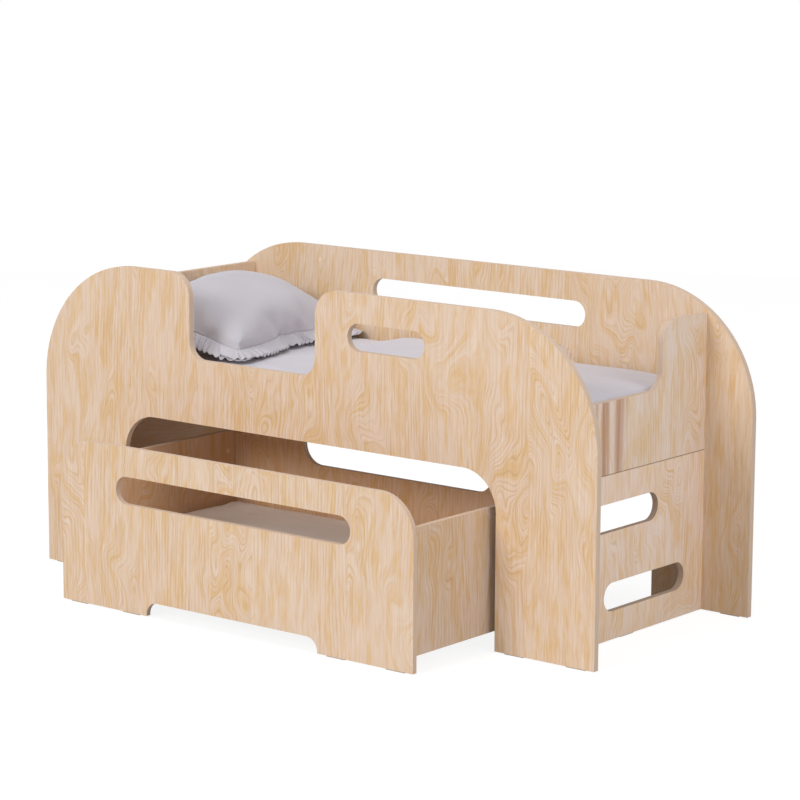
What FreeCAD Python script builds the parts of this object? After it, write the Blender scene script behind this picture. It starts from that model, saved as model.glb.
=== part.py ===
"""A child's plywood bed with a pull-out trundle, as a parametric document.

Lengths are millimetres. Bed coordinates start at the front left corner on the floor: x runs
along the bed, y to the back and z up. The part's own origin is on the floor under the middle
of the whole object with the trundle pulled out as the photograph shows it.
"""
import FreeCAD, Part
import math
import os
import Sketcher
from FreeCAD import Rotation, Vector

os.makedirs("parts", exist_ok=True)
doc = FreeCAD.newDocument("kids_bed")
sheet = doc.addObject("Spreadsheet::Sheet", "Sizes")

# Driving dimensions, written once
sizes = {
    # Outline of the two long side boards
    "bed_length": 1960,
    "bed_width": 744,
    "bed_top": 900,
    "board": 18,
    "glide_height": 3,
    "corner_radius": 350,
    "leg_width": 317,
    "arch_top": 478,
    "arch_radius": 110,
    "scoop_start": 569,
    "scoop_width": 459,
    "scoop_floor": 660,
    "scoop_floor_radius": 50,
    "scoop_top_radius": 70,
    "slot_height": 75,
    "slot_middle": 783,
    "hand_slot_start": 1142,
    "hand_slot_length": 262,
    "rear_slot_start": 635,
    "rear_slot_length": 768,
    # End boards, each an upper and a lower one that meet at a seam
    "end_inset": 152,
    "end_top": 829,
    "seam_drop": 26,
    "seam_gap": 0.4,
    "entry_start": 94,
    "entry_width": 401,
    "entry_floor": 647,
    "entry_radius": 45,
    "front_ear_radius": 90,
    "rear_ear_radius": 55,
    "step_height": 78,
    "step_length": 378,
    "upper_step_middle": 335,
    "upper_step_start": 108,
    "lower_step_middle": 119,
    "lower_step_margin": 90,
    # Slatted base of the bed
    "rail_depth": 28,
    "rail_height": 44,
    "slat_thickness": 18,
    "slat_width": 70,
    "slat_end_gap": 2,
    "strap_width": 25,
    "strap_thickness": 1.5,
    "strap_inset": 20,
    # Hidden cam fittings, dowels and screws
    "cam_radius": 7.5,
    "cam_depth": 13,
    "cam_reach": 34,
    "cam_margin": 100,
    "cam_slot": 7.4,
    "cam_bolt_radius": 3,
    "cam_bolt_bite": 11,
    "cam_bolt_end": 3.5,
    "fit_gap": 0.1,
    "dowel_radius": 4,
    "dowel_length": 30,
    "dowel_margin": 150,
    "screw_radius": 2,
    "screw_head_radius": 4,
    "screw_head_depth": 2.5,
    "rail_screw_bite": 12,
    "rail_screw_margin": 90,
    "slat_screw_bite": 30,
    "plug_radius": 8,
    "plug_depth": 6,
    "plug_proud": 0.6,
    "head_plug_place": 433,
    "head_plug_height": 856,
    "foot_plug_place": 1547,
    "foot_plug_height": 671,
    # Felt glides under every foot
    "glide_length": 60,
    "glide_width": 12,
    "glide_margin": 30,
    # Trundle, with its front board in front of the arch
    "trundle_out": 312,
    "trundle_left_gap": 57,
    "trundle_right_gap": 23,
    "trundle_board": 15,
    "trundle_rear_gap": 9,
    "trundle_top_gap": 16,
    "trundle_radius": 115,
    "trundle_slot_height": 77,
    "trundle_slot_length": 831,
    "trundle_slot_drop": 120,
    "foot_length": 318,
    "foot_height": 43,
    "foot_radius": 40,
    "side_bottom": 48,
    "side_drop": 80,
    "back_ear": 280,
    "back_dip_depth": 67,
    "back_radius": 60,
    "trundle_rail": 20,
    "trundle_slat_thickness": 12,
    "trundle_slat_width": 80,
    "trundle_cam_margin": 60,
    "trundle_screw_margin": 150,
    "trundle_slat_bite": 14,
    "trundle_rail_screw_bite": 9,
    # Soft parts
    "mattress_gap": 5,
    "mattress_thickness": 108,
    "mattress_round": 60,
    "trundle_mattress_thickness": 104,
    "pillow_length": 365,
    "pillow_side_gap": 31,
    "pillow_thickness": 150,
    "pillow_round": 60,
    "frill_width": 38,
    "frill_thickness": 3,
    "frill_lift": 0.3,
    "soft_gap": 0.3,
    # Overrun of a cut past the face that it leaves by
    "overrun": 5,
}
# Sizes that follow from the driving ones
derived = {
    "seam_height": "arch_top - seam_drop",
    "lower_step_start": "bed_width - 2 * board - step_length - lower_step_margin",
    "trundle_start": "leg_width + trundle_left_gap",
    "trundle_width": "bed_length - 2 * leg_width - trundle_left_gap - trundle_right_gap",
    "trundle_depth": "bed_width - board - trundle_rear_gap",
    "trundle_top": "arch_top - trundle_top_gap",
    "trundle_slot_middle": "trundle_top - trundle_slot_drop",
    "side_top": "trundle_top - side_drop",
    "back_dip": "side_top - back_dip_depth",
    "pillow_width": "bed_width - 2 * board - 2 * pillow_side_gap - 2 * frill_width",
}
pillow_tilt_degrees = 20
pillow_turn_degrees = 11
slat_count = 12
trundle_slat_count = 9
# Hidden fittings and their holes are eight-sided bars
fitting_sides = 8

row = 0
for alias, amount in sizes.items():
    row += 1
    sheet.set("A%d" % row, alias)
    sheet.set("B%d" % row, str(amount))
    sheet.setAlias("B%d" % row, alias)
doc.recompute()

nodes = []
# Two corners closer than this are one
touching_share = 0.001
same_place = sizes["fit_gap"] * touching_share


def cell(word):
    """A word of an expression, as a cell of the sheet or as what it follows from."""
    if word in derived:
        return "( %s )" % named(derived[word])
    return "Sizes." + word if word in sizes else word


def named(text):
    """An expression with every size written as a cell of the sheet."""
    words = text.replace("(", " ( ").replace(")", " ) ").split()
    return " ".join(cell(word) for word in words)


def number(text):
    """The value of an expression in plain millimetres."""
    return float(sheet.evalExpression(named(text)))


# Places in bed coordinates that several pieces share
inner_width = "( bed_width - 2 * board )"
head_face = "( end_inset + board )"
foot_face = "( bed_length - end_inset - board )"
inner_length = "( bed_length - 2 * end_inset - 2 * board )"
base_bottom = "( seam_height + seam_drop )"
base_top = "( %s + rail_height )" % base_bottom
slat_top = "( %s + slat_thickness )" % base_top
inner_trundle = "( trundle_width - 2 * trundle_board )"
trundle_inner_depth = "( trundle_depth - 2 * trundle_board )"
origin_x = "bed_length / 2"
origin_y = "( bed_width - trundle_out ) / 2"


def place(item, left, front, bottom):
    """Puts a piece at a place given in bed coordinates."""
    item.setExpression("Placement.Base.x", named("%s - %s" % (left, origin_x)))
    item.setExpression("Placement.Base.y", named("%s - %s" % (front, origin_y)))
    item.setExpression("Placement.Base.z", named(bottom))


def new_body(name, left, front, bottom):
    body = doc.addObject("PartDesign::Body", name)
    body.Label = name
    place(body, left, front, bottom)
    nodes.append(body)
    return body


def sketch_on(body, name, plane, offset="0"):
    """An empty sketch on one of the body's own origin planes, or beside it by an offset."""
    sketch = body.newObject("Sketcher::SketchObject", name)
    for feature in body.Origin.OriginFeatures:
        if feature.Role == plane + "_Plane":
            sketch.AttachmentSupport = [(feature, "")]
    sketch.MapMode = "FlatFace"
    if offset != "0":
        sketch.setExpression("AttachmentOffset.Base.z", named(offset))
    return sketch


def bind(sketch, kind, ends, name, expression):
    """A dimension of a sketch that follows an expression."""
    index = sketch.addConstraint(Sketcher.Constraint(kind, *ends, number(expression)))
    sketch.renameConstraint(index, name)
    sketch.setExpression("Constraints." + name, named(expression))


def locate(sketch, geometry, point, prefix, across, along):
    """Ties a point of the sketch to its origin."""
    if across == "0":
        sketch.addConstraint(Sketcher.Constraint("PointOnObject", geometry, point, -2))
    else:
        bind(sketch, "DistanceX", (-1, 1, geometry, point), prefix + "across", across)
    if along == "0":
        sketch.addConstraint(Sketcher.Constraint("PointOnObject", geometry, point, -1))
    else:
        bind(sketch, "DistanceY", (-1, 1, geometry, point), prefix + "along", along)


def rectangle(sketch, across, along, width, height):
    x, y, w, d = [number(text) for text in (across, along, width, height)]
    corners = [Vector(x, y, 0), Vector(x + w, y, 0), Vector(x + w, y + d, 0), Vector(x, y + d, 0)]
    for start, end in zip(corners, corners[1:] + corners[:1]):
        sketch.addGeometry(Part.LineSegment(start, end), False)
    for side in range(4):
        sketch.addConstraint(Sketcher.Constraint("Coincident", side, 2, (side + 1) % 4, 1))
    for side, kind in enumerate(("Horizontal", "Vertical", "Horizontal", "Vertical")):
        sketch.addConstraint(Sketcher.Constraint(kind, side))
    locate(sketch, 0, 1, "corner_", across, along)
    bind(sketch, "DistanceX", (0, 1, 0, 2), "width", width)
    bind(sketch, "DistanceY", (1, 1, 1, 2), "height", height)


def slot(sketch, across, middle, length, height):
    """A round-ended slot that starts at across and is centred on middle."""
    radius = number(height) / 2
    left = number(across) + radius
    right = number(across) + number(length) - radius
    level = number(middle)
    up, side = Vector(0, radius, 0), Vector(radius, 0, 0)
    centre_left, centre_right = Vector(left, level, 0), Vector(right, level, 0)
    sketch.addGeometry(Part.LineSegment(centre_left - up, centre_right - up), False)
    sketch.addGeometry(Part.Arc(centre_right - up, centre_right + side, centre_right + up), False)
    sketch.addGeometry(Part.LineSegment(centre_right + up, centre_left + up), False)
    sketch.addGeometry(Part.Arc(centre_left + up, centre_left - side, centre_left - up), False)
    for geometry in range(4):
        sketch.addConstraint(Sketcher.Constraint("Tangent", geometry, 2, (geometry + 1) % 4, 1))
    sketch.addConstraint(Sketcher.Constraint("Horizontal", 0))
    bind(sketch, "Radius", (1,), "end_radius", "( %s ) / 2" % height)
    bind(sketch, "DistanceX", (0, 1, 0, 2), "straight", "( %s ) - ( %s )" % (length, height))
    locate(sketch, 3, 3, "centre_", "( %s ) + ( %s ) / 2" % (across, height), middle)


def pad(body, sketch, thickness, backwards):
    feature = body.newObject("PartDesign::Pad", sketch.Name + "_pad")
    feature.Profile = sketch
    feature.Reversed = backwards
    feature.setExpression("Length", named(thickness))
    body.Tip = feature
    doc.recompute()
    return feature


def pocket(body, sketch, backwards, depth=None):
    """Cuts a sketch out of the body, and raises if it misses the material."""
    before = body.Tip.Shape.Volume
    feature = body.newObject("PartDesign::Pocket", sketch.Name + "_pocket")
    feature.Profile = sketch
    feature.Reversed = backwards
    if depth is None:
        feature.Type = "ThroughAll"
    else:
        feature.setExpression("Length", named(depth))
    body.Tip = feature
    doc.recompute()
    if not feature.Shape.Volume < before:
        raise RuntimeError("%s cuts nothing" % feature.Name)
    return feature


def round_corners(body, name, radius, corners, axis):
    """Rounds the edges that run along the axis through the given corners of the outline."""
    tip = body.Tip
    first, second = {"x": ("y", "z"), "y": ("x", "z"), "z": ("x", "y")}[axis]
    wanted = [(number(across), number(along)) for across, along in corners]
    picked = []
    for index, edge in enumerate(tip.Shape.Edges):
        start, end = edge.Vertexes[0].Point, edge.Vertexes[-1].Point
        for across, along in wanted:
            if all(math.isclose(getattr(point, first), across, abs_tol=same_place)
                   and math.isclose(getattr(point, second), along, abs_tol=same_place)
                   for point in (start, end)):
                picked.append("Edge%d" % (index + 1))
    if len(picked) != len(wanted):
        raise RuntimeError("%s finds %d of %d edges" % (name, len(picked), len(wanted)))
    feature = body.newObject("PartDesign::Fillet", name)
    feature.Base = (tip, picked)
    feature.setExpression("Radius", named(radius))
    body.Tip = feature
    doc.recompute()


def round_hole(sketch, across, along, radius, prefix):
    """A circle of a sketch."""
    middle = Vector(number(across), number(along), 0)
    circle = sketch.addGeometry(Part.Circle(middle, Vector(0, 0, 1), number(radius)), False)
    bind(sketch, "Radius", (circle,), prefix + "radius", radius)
    locate(sketch, circle, 3, prefix, across, along)


def fitting_hole(sketch, across, along, radius, prefix):
    """A regular outline for a fitting, with its corners on a construction circle."""
    middle = Vector(number(across), number(along), 0)
    circle = sketch.addGeometry(Part.Circle(middle, Vector(0, 0, 1), number(radius)), True)
    corners = []
    for index in range(fitting_sides):
        turn = 2 * math.pi * index / fitting_sides
        corners.append(middle + Vector(math.cos(turn), math.sin(turn), 0) * number(radius))
    first = circle + 1
    for start, end in zip(corners, corners[1:] + corners[:1]):
        sketch.addGeometry(Part.LineSegment(start, end), False)
    for index in range(fitting_sides):
        side = first + index
        following = first + (index + 1) % fitting_sides
        sketch.addConstraint(Sketcher.Constraint("Coincident", side, 2, following, 1))
        sketch.addConstraint(Sketcher.Constraint("PointOnObject", side, 1, circle))
        if index:
            sketch.addConstraint(Sketcher.Constraint("Equal", first, side))
    sketch.addConstraint(Sketcher.Constraint("Horizontal", circle, 3, first, 1))
    bind(sketch, "Radius", (circle,), prefix + "radius", radius)
    locate(sketch, circle, 3, prefix, across, along)


def drill(body, name, plane, centres, radius, depth, backwards, offset="0", hole=fitting_hole):
    """Holes of one radius and depth at a list of centres."""
    sketch = sketch_on(body, name, plane, offset)
    for index, (across, along) in enumerate(centres):
        hole(sketch, across, along, radius, "hole_%d_" % index)
    return pocket(body, sketch, backwards, depth)


def start_along(bar, left, front, bottom, direction):
    """Stands a bar at a place in bed coordinates and turns it along a direction."""
    bar.Placement = FreeCAD.Placement(Vector(), Rotation(Vector(0, 0, 1), direction))
    place(bar, left, front, bottom)
    return bar


def cylinder(name, radius, length, left, front, bottom, direction):
    """A round bar."""
    bar = doc.addObject("Part::Cylinder", name)
    bar.setExpression("Radius", named(radius))
    bar.setExpression("Height", named(length))
    return start_along(bar, left, front, bottom, direction)


def fitting(name, radius, length, left, front, bottom, direction):
    """The bar of a hidden fitting, with as many sides as its hole."""
    bar = doc.addObject("Part::Prism", name)
    bar.Polygon = fitting_sides
    bar.setExpression("Circumradius", named(radius))
    bar.setExpression("Height", named(length))
    return start_along(bar, left, front, bottom, direction)


def box(name, length, width, height, left, front, bottom):
    block = doc.addObject("Part::Box", name)
    block.setExpression("Length", named(length))
    block.setExpression("Width", named(width))
    block.setExpression("Height", named(height))
    place(block, left, front, bottom)
    return block


def fused(name, pieces):
    joined = doc.addObject("Part::MultiFuse", name)
    joined.Shapes = pieces
    return joined


def group(name, pieces):
    """Identical pieces that share one node and stay separate solids."""
    bundle = doc.addObject("Part::Compound", name)
    bundle.Label = name
    bundle.Links = pieces
    nodes.append(bundle)


def lone(item, name):
    item.Label = name
    nodes.append(item)


right, left_way = Vector(1, 0, 0), Vector(-1, 0, 0)
back, forward = Vector(0, 1, 0), Vector(0, -1, 0)
up, down = Vector(0, 0, 1), Vector(0, 0, -1)

# Heights of the hidden cam fittings on the lower and the upper end boards
lower_cams = ["glide_height + cam_margin", "seam_height - cam_margin"]
upper_cams = ["seam_height + cam_margin", "end_top - cam_margin"]
end_middles = ["end_inset + board / 2", "bed_length - end_inset - board / 2"]

# Screws that hold the long rails to the side boards, as places along the bed
rail_screw_level = "( %s + rail_height / 2 )" % base_bottom
rail_screw_count = 4
rail_screw_places = [
    "( %s + rail_screw_margin + ( %s - 2 * rail_screw_margin ) * %d / %d )"
    % (head_face, inner_length, index, rail_screw_count - 1) for index in range(rail_screw_count)]
end_screw_places = ["( board + rail_depth + rail_screw_margin )",
                    "( bed_width - board - rail_depth - rail_screw_margin )"]


# Long side boards

def side_board(name, front):
    """A long board with two large top corners and a floor-reaching arch."""
    body = new_body(name, "0", front, "glide_height")
    outline = sketch_on(body, name + "_outline", "XZ")
    tall = "bed_top - glide_height"
    rectangle(outline, "0", "0", "bed_length", tall)
    pad(body, outline, "board", True)
    arch = sketch_on(body, name + "_arch", "XZ")
    rise = "arch_top - glide_height"
    rectangle(arch, "leg_width", "0", "bed_length - 2 * leg_width", rise)
    pocket(body, arch, False)
    round_corners(body, name + "_arch_corners", "arch_radius",
                  [("leg_width", rise), ("bed_length - leg_width", rise)], "y")
    round_corners(body, name + "_top_corners", "corner_radius",
                  [("0", tall), ("bed_length", tall)], "y")
    return body


def side_board_holes(body, inner_offset, into_front):
    """Blind holes for the cam bolts and the rail screws in the inner face of a side board."""
    bolts = [(middle, "%s - glide_height" % level)
             for middle in end_middles for level in lower_cams + upper_cams]
    drill(body, body.Name + "_bolt_holes", "XZ", bolts, "cam_bolt_radius + fit_gap",
          "cam_bolt_bite + fit_gap", into_front, inner_offset)
    screws = [(spot, "%s - glide_height" % rail_screw_level) for spot in rail_screw_places]
    drill(body, body.Name + "_screw_holes", "XZ", screws, "screw_radius + fit_gap",
          "rail_screw_bite + fit_gap", into_front, inner_offset)


front_panel = side_board("front_panel", "0")
scoop = sketch_on(front_panel, "front_scoop", "XZ")
rectangle(scoop, "scoop_start", "scoop_floor - glide_height", "scoop_width",
          "bed_top - scoop_floor")
pocket(front_panel, scoop, False)
scoop_end = "scoop_start + scoop_width"
round_corners(front_panel, "front_scoop_floor_corners", "scoop_floor_radius",
              [("scoop_start", "scoop_floor - glide_height"),
               (scoop_end, "scoop_floor - glide_height")], "y")
round_corners(front_panel, "front_scoop_top_corners", "scoop_top_radius",
              [("scoop_start", "bed_top - glide_height"),
               (scoop_end, "bed_top - glide_height")], "y")
hand_slot = sketch_on(front_panel, "hand_slot", "XZ")
slot(hand_slot, "hand_slot_start", "slot_middle - glide_height", "hand_slot_length",
     "slot_height")
pocket(front_panel, hand_slot, False)
side_board_holes(front_panel, "-1 * board", True)

rear_panel = side_board("rear_panel", "bed_width - board")
rear_slot = sketch_on(rear_panel, "rear_slot", "XZ")
slot(rear_slot, "rear_slot_start", "slot_middle - glide_height", "rear_slot_length",
     "slot_height")
pocket(rear_panel, rear_slot, False)
side_board_holes(rear_panel, "0", False)
plug_places = [("head_plug_place", "head_plug_height"), ("foot_plug_place", "foot_plug_height")]
drill(rear_panel, "rear_plug_holes", "XZ",
      [(across, "%s - glide_height" % level) for across, level in plug_places],
      "plug_radius + fit_gap", "plug_depth + fit_gap", False, hole=round_hole)
group("rear_plugs", [
    cylinder("rear_plug_%d" % index, "plug_radius", "plug_depth + plug_proud", across,
             "bed_width - board - plug_proud", level, back)
    for index, (across, level) in enumerate(plug_places)])


# End boards between the side boards

def end_board(name, left, bottom, top, cam_levels, inner_is_right):
    """An end board with pockets for cams on its inner face and bolt holes in both edges."""
    body = new_body(name, left, "board", bottom)
    outline = sketch_on(body, name + "_outline", "YZ")
    rectangle(outline, "0", "0", inner_width, "%s - ( %s )" % (top, bottom))
    pad(body, outline, "board", False)
    levels = ["%s - ( %s )" % (level, bottom) for level in cam_levels]
    cams = [(across, level) for level in levels
            for across in ("cam_reach", "%s - cam_reach" % inner_width)]
    drill(body, name + "_cam_pockets", "YZ", cams, "cam_radius + fit_gap", "cam_depth + fit_gap",
          not inner_is_right, "board" if inner_is_right else "0")
    edges = [("board / 2", level) for level in levels]
    drill(body, name + "_front_bolt_holes", "XZ", edges, "cam_bolt_radius + fit_gap",
          "cam_reach", False)
    drill(body, name + "_rear_bolt_holes", "XZ", edges, "cam_bolt_radius + fit_gap",
          "cam_reach", True, "-1 * %s" % inner_width)
    return body


def dowel_holes(body, name, offset, downwards):
    """Holes for the two dowels that cross the seam."""
    centres = [("board / 2", "dowel_margin"),
               ("board / 2", "%s - dowel_margin" % inner_width)]
    drill(body, name, "XY", centres, "dowel_radius + fit_gap", "dowel_length / 2 + fit_gap",
          downwards, offset)


def end_rail_holes(body, name, bottom, inner_is_right):
    """Blind holes for the screws of the short rail on the inner face."""
    centres = [("%s - board" % spot, "%s - ( %s )" % (rail_screw_level, bottom))
               for spot in end_screw_places]
    drill(body, name, "YZ", centres, "screw_radius + fit_gap", "rail_screw_bite + fit_gap",
          not inner_is_right, "board" if inner_is_right else "0")


lower_bottom = "glide_height"
lower_top = "seam_height - seam_gap / 2"
upper_bottom = "seam_height + seam_gap / 2"
lower_tall = "%s - glide_height" % lower_top

head_panel = end_board("head_panel", "end_inset", upper_bottom, "end_top", upper_cams, True)
end_rail_holes(head_panel, "head_rail_holes", upper_bottom, True)
dowel_holes(head_panel, "head_dowel_holes", "0", True)

head_lower = end_board("head_lower_panel", "end_inset", lower_bottom, lower_top, lower_cams,
                       True)
dowel_holes(head_lower, "head_lower_dowel_holes", lower_tall, False)

foot_panel = end_board("foot_panel", foot_face, upper_bottom, "end_top", upper_cams, False)
entry_base = "entry_floor - ( %s )" % upper_bottom
entry_crest = "end_top - ( %s )" % upper_bottom
entry_end = "entry_start + entry_width"
entry = sketch_on(foot_panel, "foot_entry", "YZ")
rectangle(entry, "entry_start", entry_base, "entry_width", "end_top - entry_floor")
pocket(foot_panel, entry, True)
round_corners(foot_panel, "foot_entry_corners", "entry_radius",
              [("entry_start", entry_base), (entry_end, entry_base)], "x")
round_corners(foot_panel, "foot_front_ear", "front_ear_radius",
              [("entry_start", entry_crest)], "x")
round_corners(foot_panel, "foot_rear_ear", "rear_ear_radius",
              [(entry_end, entry_crest)], "x")
end_rail_holes(foot_panel, "foot_rail_holes", upper_bottom, False)
dowel_holes(foot_panel, "foot_dowel_holes", "0", True)

ladder = end_board("ladder_panel", foot_face, lower_bottom, lower_top, lower_cams, False)
for step in ("upper", "lower"):
    opening = sketch_on(ladder, step + "_step", "YZ")
    slot(opening, step + "_step_start", step + "_step_middle - glide_height", "step_length",
         "step_height")
    pocket(ladder, opening, True)
dowel_holes(ladder, "ladder_dowel_holes", lower_tall, False)

seam_dowels = []
for end, middle in enumerate(end_middles):
    for side, across in enumerate(("board + dowel_margin", "bed_width - board - dowel_margin")):
        seam_dowels.append(fitting(
            "seam_dowel_%d_%d" % (end, side), "dowel_radius", "dowel_length", middle, across,
            "seam_height - dowel_length / 2", up))
group("seam_dowels", seam_dowels)


# Cam locks and their bolts, hidden at every corner

def cam_and_bolt(name, face, cam_way, middle, across, level, bolt_way, bolt_start, bite):
    """A cam in its pocket and the bolt whose end lies in the mouth of the cam."""
    drum = fitting(name + "_drum", "cam_radius", "cam_depth", face, across, level, cam_way)
    mouth = fitting(name + "_mouth", "cam_slot / 2", "cam_radius + overrun", middle, across,
                    level, bolt_way)
    cam = doc.addObject("Part::Cut", name)
    cam.Base = drum
    cam.Tool = mouth
    bolt = fitting(name + "_bolt", "cam_bolt_radius", "%s + cam_reach - cam_bolt_end" % bite,
                   middle, bolt_start, level, back)
    return cam, bolt


bed_cams, bed_bolts = [], []
for end, (face, cam_way) in enumerate(((head_face, left_way), (foot_face, right))):
    for level_index, level in enumerate(lower_cams + upper_cams):
        for side, (across, bolt_way, bolt_start) in enumerate((
                ("board + cam_reach", forward, "board - cam_bolt_bite"),
                ("bed_width - board - cam_reach", back,
                 "bed_width - board - cam_reach + cam_bolt_end"))):
            cam, bolt = cam_and_bolt("bed_cam_%d_%d_%d" % (end, level_index, side), face, cam_way,
                                     end_middles[end], across, level, bolt_way, bolt_start,
                                     "cam_bolt_bite")
            bed_cams.append(cam)
            bed_bolts.append(bolt)
group("bed_cam_locks", bed_cams)
group("bed_cam_bolts", bed_bolts)


# Rails, slats and straps of a slatted base

def screw(name, place_xyz, way, length):
    """A screw with a flat head, which starts at the place and is sunk flush."""
    head = fitting(name + "_head", "screw_head_radius", "screw_head_depth", *place_xyz, way)
    shank = fitting(name + "_shank", "screw_radius", length, *place_xyz, way)
    return fused(name, [head, shank])


def rail(name, plane, left, front, bottom, length, height, depth, screws, outwards, sunk_face):
    """A bar on the inner face of a board, with counterbored screw holes through it."""
    body = new_body(name, left, front, bottom)
    outline = sketch_on(body, name + "_outline", plane)
    rectangle(outline, "0", "0", length, height)
    pad(body, outline, depth, plane == "XZ")
    drill(body, name + "_screw_holes", plane, screws, "screw_radius + fit_gap", depth,
          plane == "YZ")
    drill(body, name + "_head_holes", plane, screws, "screw_head_radius + fit_gap",
          "screw_head_depth + fit_gap", outwards, sunk_face)
    return body


half_rail = "rail_height / 2"
long_screws = [("%s - %s" % (spot, head_face), half_rail) for spot in rail_screw_places]
front_rail = rail("front_rail", "XZ", head_face, "board", base_bottom, inner_length,
                  "rail_height", "rail_depth", long_screws, True, "-1 * rail_depth")
rear_rail = rail("rear_rail", "XZ", head_face, "bed_width - board - rail_depth", base_bottom,
                 inner_length, "rail_height", "rail_depth", long_screws, False, "0")
short_length = "( bed_width - 2 * board - 2 * rail_depth )"
short_screws = [("%s - board - rail_depth" % spot, half_rail) for spot in end_screw_places]
rail("head_rail", "YZ", head_face, "board + rail_depth", base_bottom, short_length,
     "rail_height", "rail_depth", short_screws, False, "rail_depth")
rail("foot_rail", "YZ", "%s - rail_depth" % foot_face, "board + rail_depth", base_bottom,
     short_length, "rail_height", "rail_depth", short_screws, True, "0")

rail_screw_length = "rail_depth + rail_screw_bite"
rail_screws = []
for index, spot in enumerate(rail_screw_places):
    rail_screws.append(screw("front_rail_screw_%d" % index,
                             (spot, "board + rail_depth", rail_screw_level), forward,
                             rail_screw_length))
    rail_screws.append(screw("rear_rail_screw_%d" % index,
                             (spot, "bed_width - board - rail_depth", rail_screw_level), back,
                             rail_screw_length))
for index, spot in enumerate(end_screw_places):
    rail_screws.append(screw("head_rail_screw_%d" % index,
                             ("%s + rail_depth" % head_face, spot, rail_screw_level), left_way,
                             rail_screw_length))
    rail_screws.append(screw("foot_rail_screw_%d" % index,
                             ("%s - rail_depth" % foot_face, spot, rail_screw_level), right,
                             rail_screw_length))
group("rail_screws", rail_screws)


def slats(stem, count, start, span, front, length, bottom, width, thickness, hole_in):
    """Slats at even spacing; only the first and the last have screw holes."""
    step = "( ( %s - %s - 2 * slat_end_gap ) / %d )" % (span, width, count - 1)
    for index in range(count):
        name = "%s_%02d" % (stem, index + 1)
        left = "%s + slat_end_gap + %s * %d" % (start, step, index)
        body = new_body(name, left, front, bottom)
        outline = sketch_on(body, name + "_outline", "XY")
        rectangle(outline, "0", "0", width, length)
        pad(body, outline, thickness, False)
        if index in (0, count - 1):
            holes = [("%s / 2" % width, hole_in), ("%s / 2" % width, "%s - %s" % (length, hole_in))]
            drill(body, name + "_screw_holes", "XY", holes, "screw_radius + fit_gap", thickness,
                  True)
            drill(body, name + "_head_holes", "XY", holes, "screw_head_radius + fit_gap",
                  "screw_head_depth + fit_gap", False, thickness)
    return ["%s + slat_end_gap + %s / 2" % (start, width),
            "%s + %s - slat_end_gap - %s / 2" % (start, span, width)]


slat_length = "( %s - 2 * slat_end_gap )" % inner_width
slat_front = "( board + slat_end_gap )"
slat_hole = "( rail_depth / 2 - slat_end_gap )"
bed_slat_middles = slats("bed_slat", slat_count, head_face, inner_length, slat_front,
                         slat_length, base_top, "slat_width", "slat_thickness", slat_hole)
bed_rail_middles = ["board + rail_depth / 2", "bed_width - board - rail_depth / 2"]
for body in (front_rail, rear_rail):
    drill(body, body.Name + "_slat_screw_holes", "XY",
          [("%s - %s" % (middle, head_face), "rail_depth / 2") for middle in bed_slat_middles],
          "screw_radius + fit_gap", "slat_screw_bite + fit_gap", False, "rail_height")
group("bed_slat_screws", [
    screw("bed_slat_screw_%d_%d" % (one, two), (middle, across, slat_top), down,
          "slat_thickness + slat_screw_bite")
    for one, middle in enumerate(bed_slat_middles)
    for two, across in enumerate(bed_rail_middles)])
strap_fronts = ["board + rail_depth + strap_inset",
                "bed_width - board - rail_depth - strap_inset - strap_width"]
group("slat_straps", [
    box("slat_strap_%d" % index, "%s - 2 * slat_end_gap - 2 * rail_depth" % inner_length,
        "strap_width", "strap_thickness", "%s + slat_end_gap + rail_depth" % head_face, front,
        "%s - strap_thickness" % base_top) for index, front in enumerate(strap_fronts)])


# Trundle

trundle_end = "( trundle_start + trundle_width )"
trundle_left_face = "( trundle_start + trundle_board )"
trundle_right_face = "( trundle_start + trundle_width - trundle_board )"
trundle_front = "( 0 - trundle_out )"
trundle_front_face = "( trundle_board - trundle_out )"
trundle_back_face = "( trundle_depth - trundle_board - trundle_out )"
trundle_cams = ["side_bottom + trundle_cam_margin", "side_top - trundle_cam_margin"]
trundle_side_middles = ["( trundle_start + trundle_board / 2 )",
                        "( trundle_start + trundle_width - trundle_board / 2 )"]
trundle_rail_level = "( side_bottom + trundle_rail / 2 )"
trundle_bolt_bite = "( cam_bolt_bite - cam_bolt_radius )"
trundle_screw_count = 3
trundle_screw_places = [
    "( %s + trundle_screw_margin + ( %s - 2 * trundle_screw_margin ) * %d / %d )"
    % (trundle_left_face, inner_trundle, index, trundle_screw_count - 1)
    for index in range(trundle_screw_count)]


def trundle_wall(name, front, height):
    """The front or back board of the trundle, on two feet with a notch between them."""
    body = new_body(name, "trundle_start", front, "glide_height")
    outline = sketch_on(body, name + "_outline", "XZ")
    rectangle(outline, "0", "0", "trundle_width", height)
    pad(body, outline, "trundle_board", True)
    notch = sketch_on(body, name + "_notch", "XZ")
    rise = "foot_height - glide_height"
    rectangle(notch, "foot_length", "0", "trundle_width - 2 * foot_length", rise)
    pocket(body, notch, False)
    round_corners(body, name + "_notch_corners", "foot_radius - glide_height",
                  [("foot_length", rise), ("trundle_width - foot_length", rise)], "y")
    return body


def trundle_wall_holes(body, backwards, offset):
    """Blind holes in the inner face for the cam bolts and the rail screws."""
    bolts = [("%s - trundle_start" % middle, "%s - glide_height" % level)
             for middle in trundle_side_middles for level in trundle_cams]
    drill(body, body.Name + "_bolt_holes", "XZ", bolts, "cam_bolt_radius + fit_gap",
          trundle_bolt_bite + " + fit_gap", backwards, offset)
    screws = [("%s - trundle_start" % spot, "%s - glide_height" % trundle_rail_level)
              for spot in trundle_screw_places]
    drill(body, body.Name + "_screw_holes", "XZ", screws, "screw_radius + fit_gap",
          "trundle_rail_screw_bite + fit_gap", backwards, offset)


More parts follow.
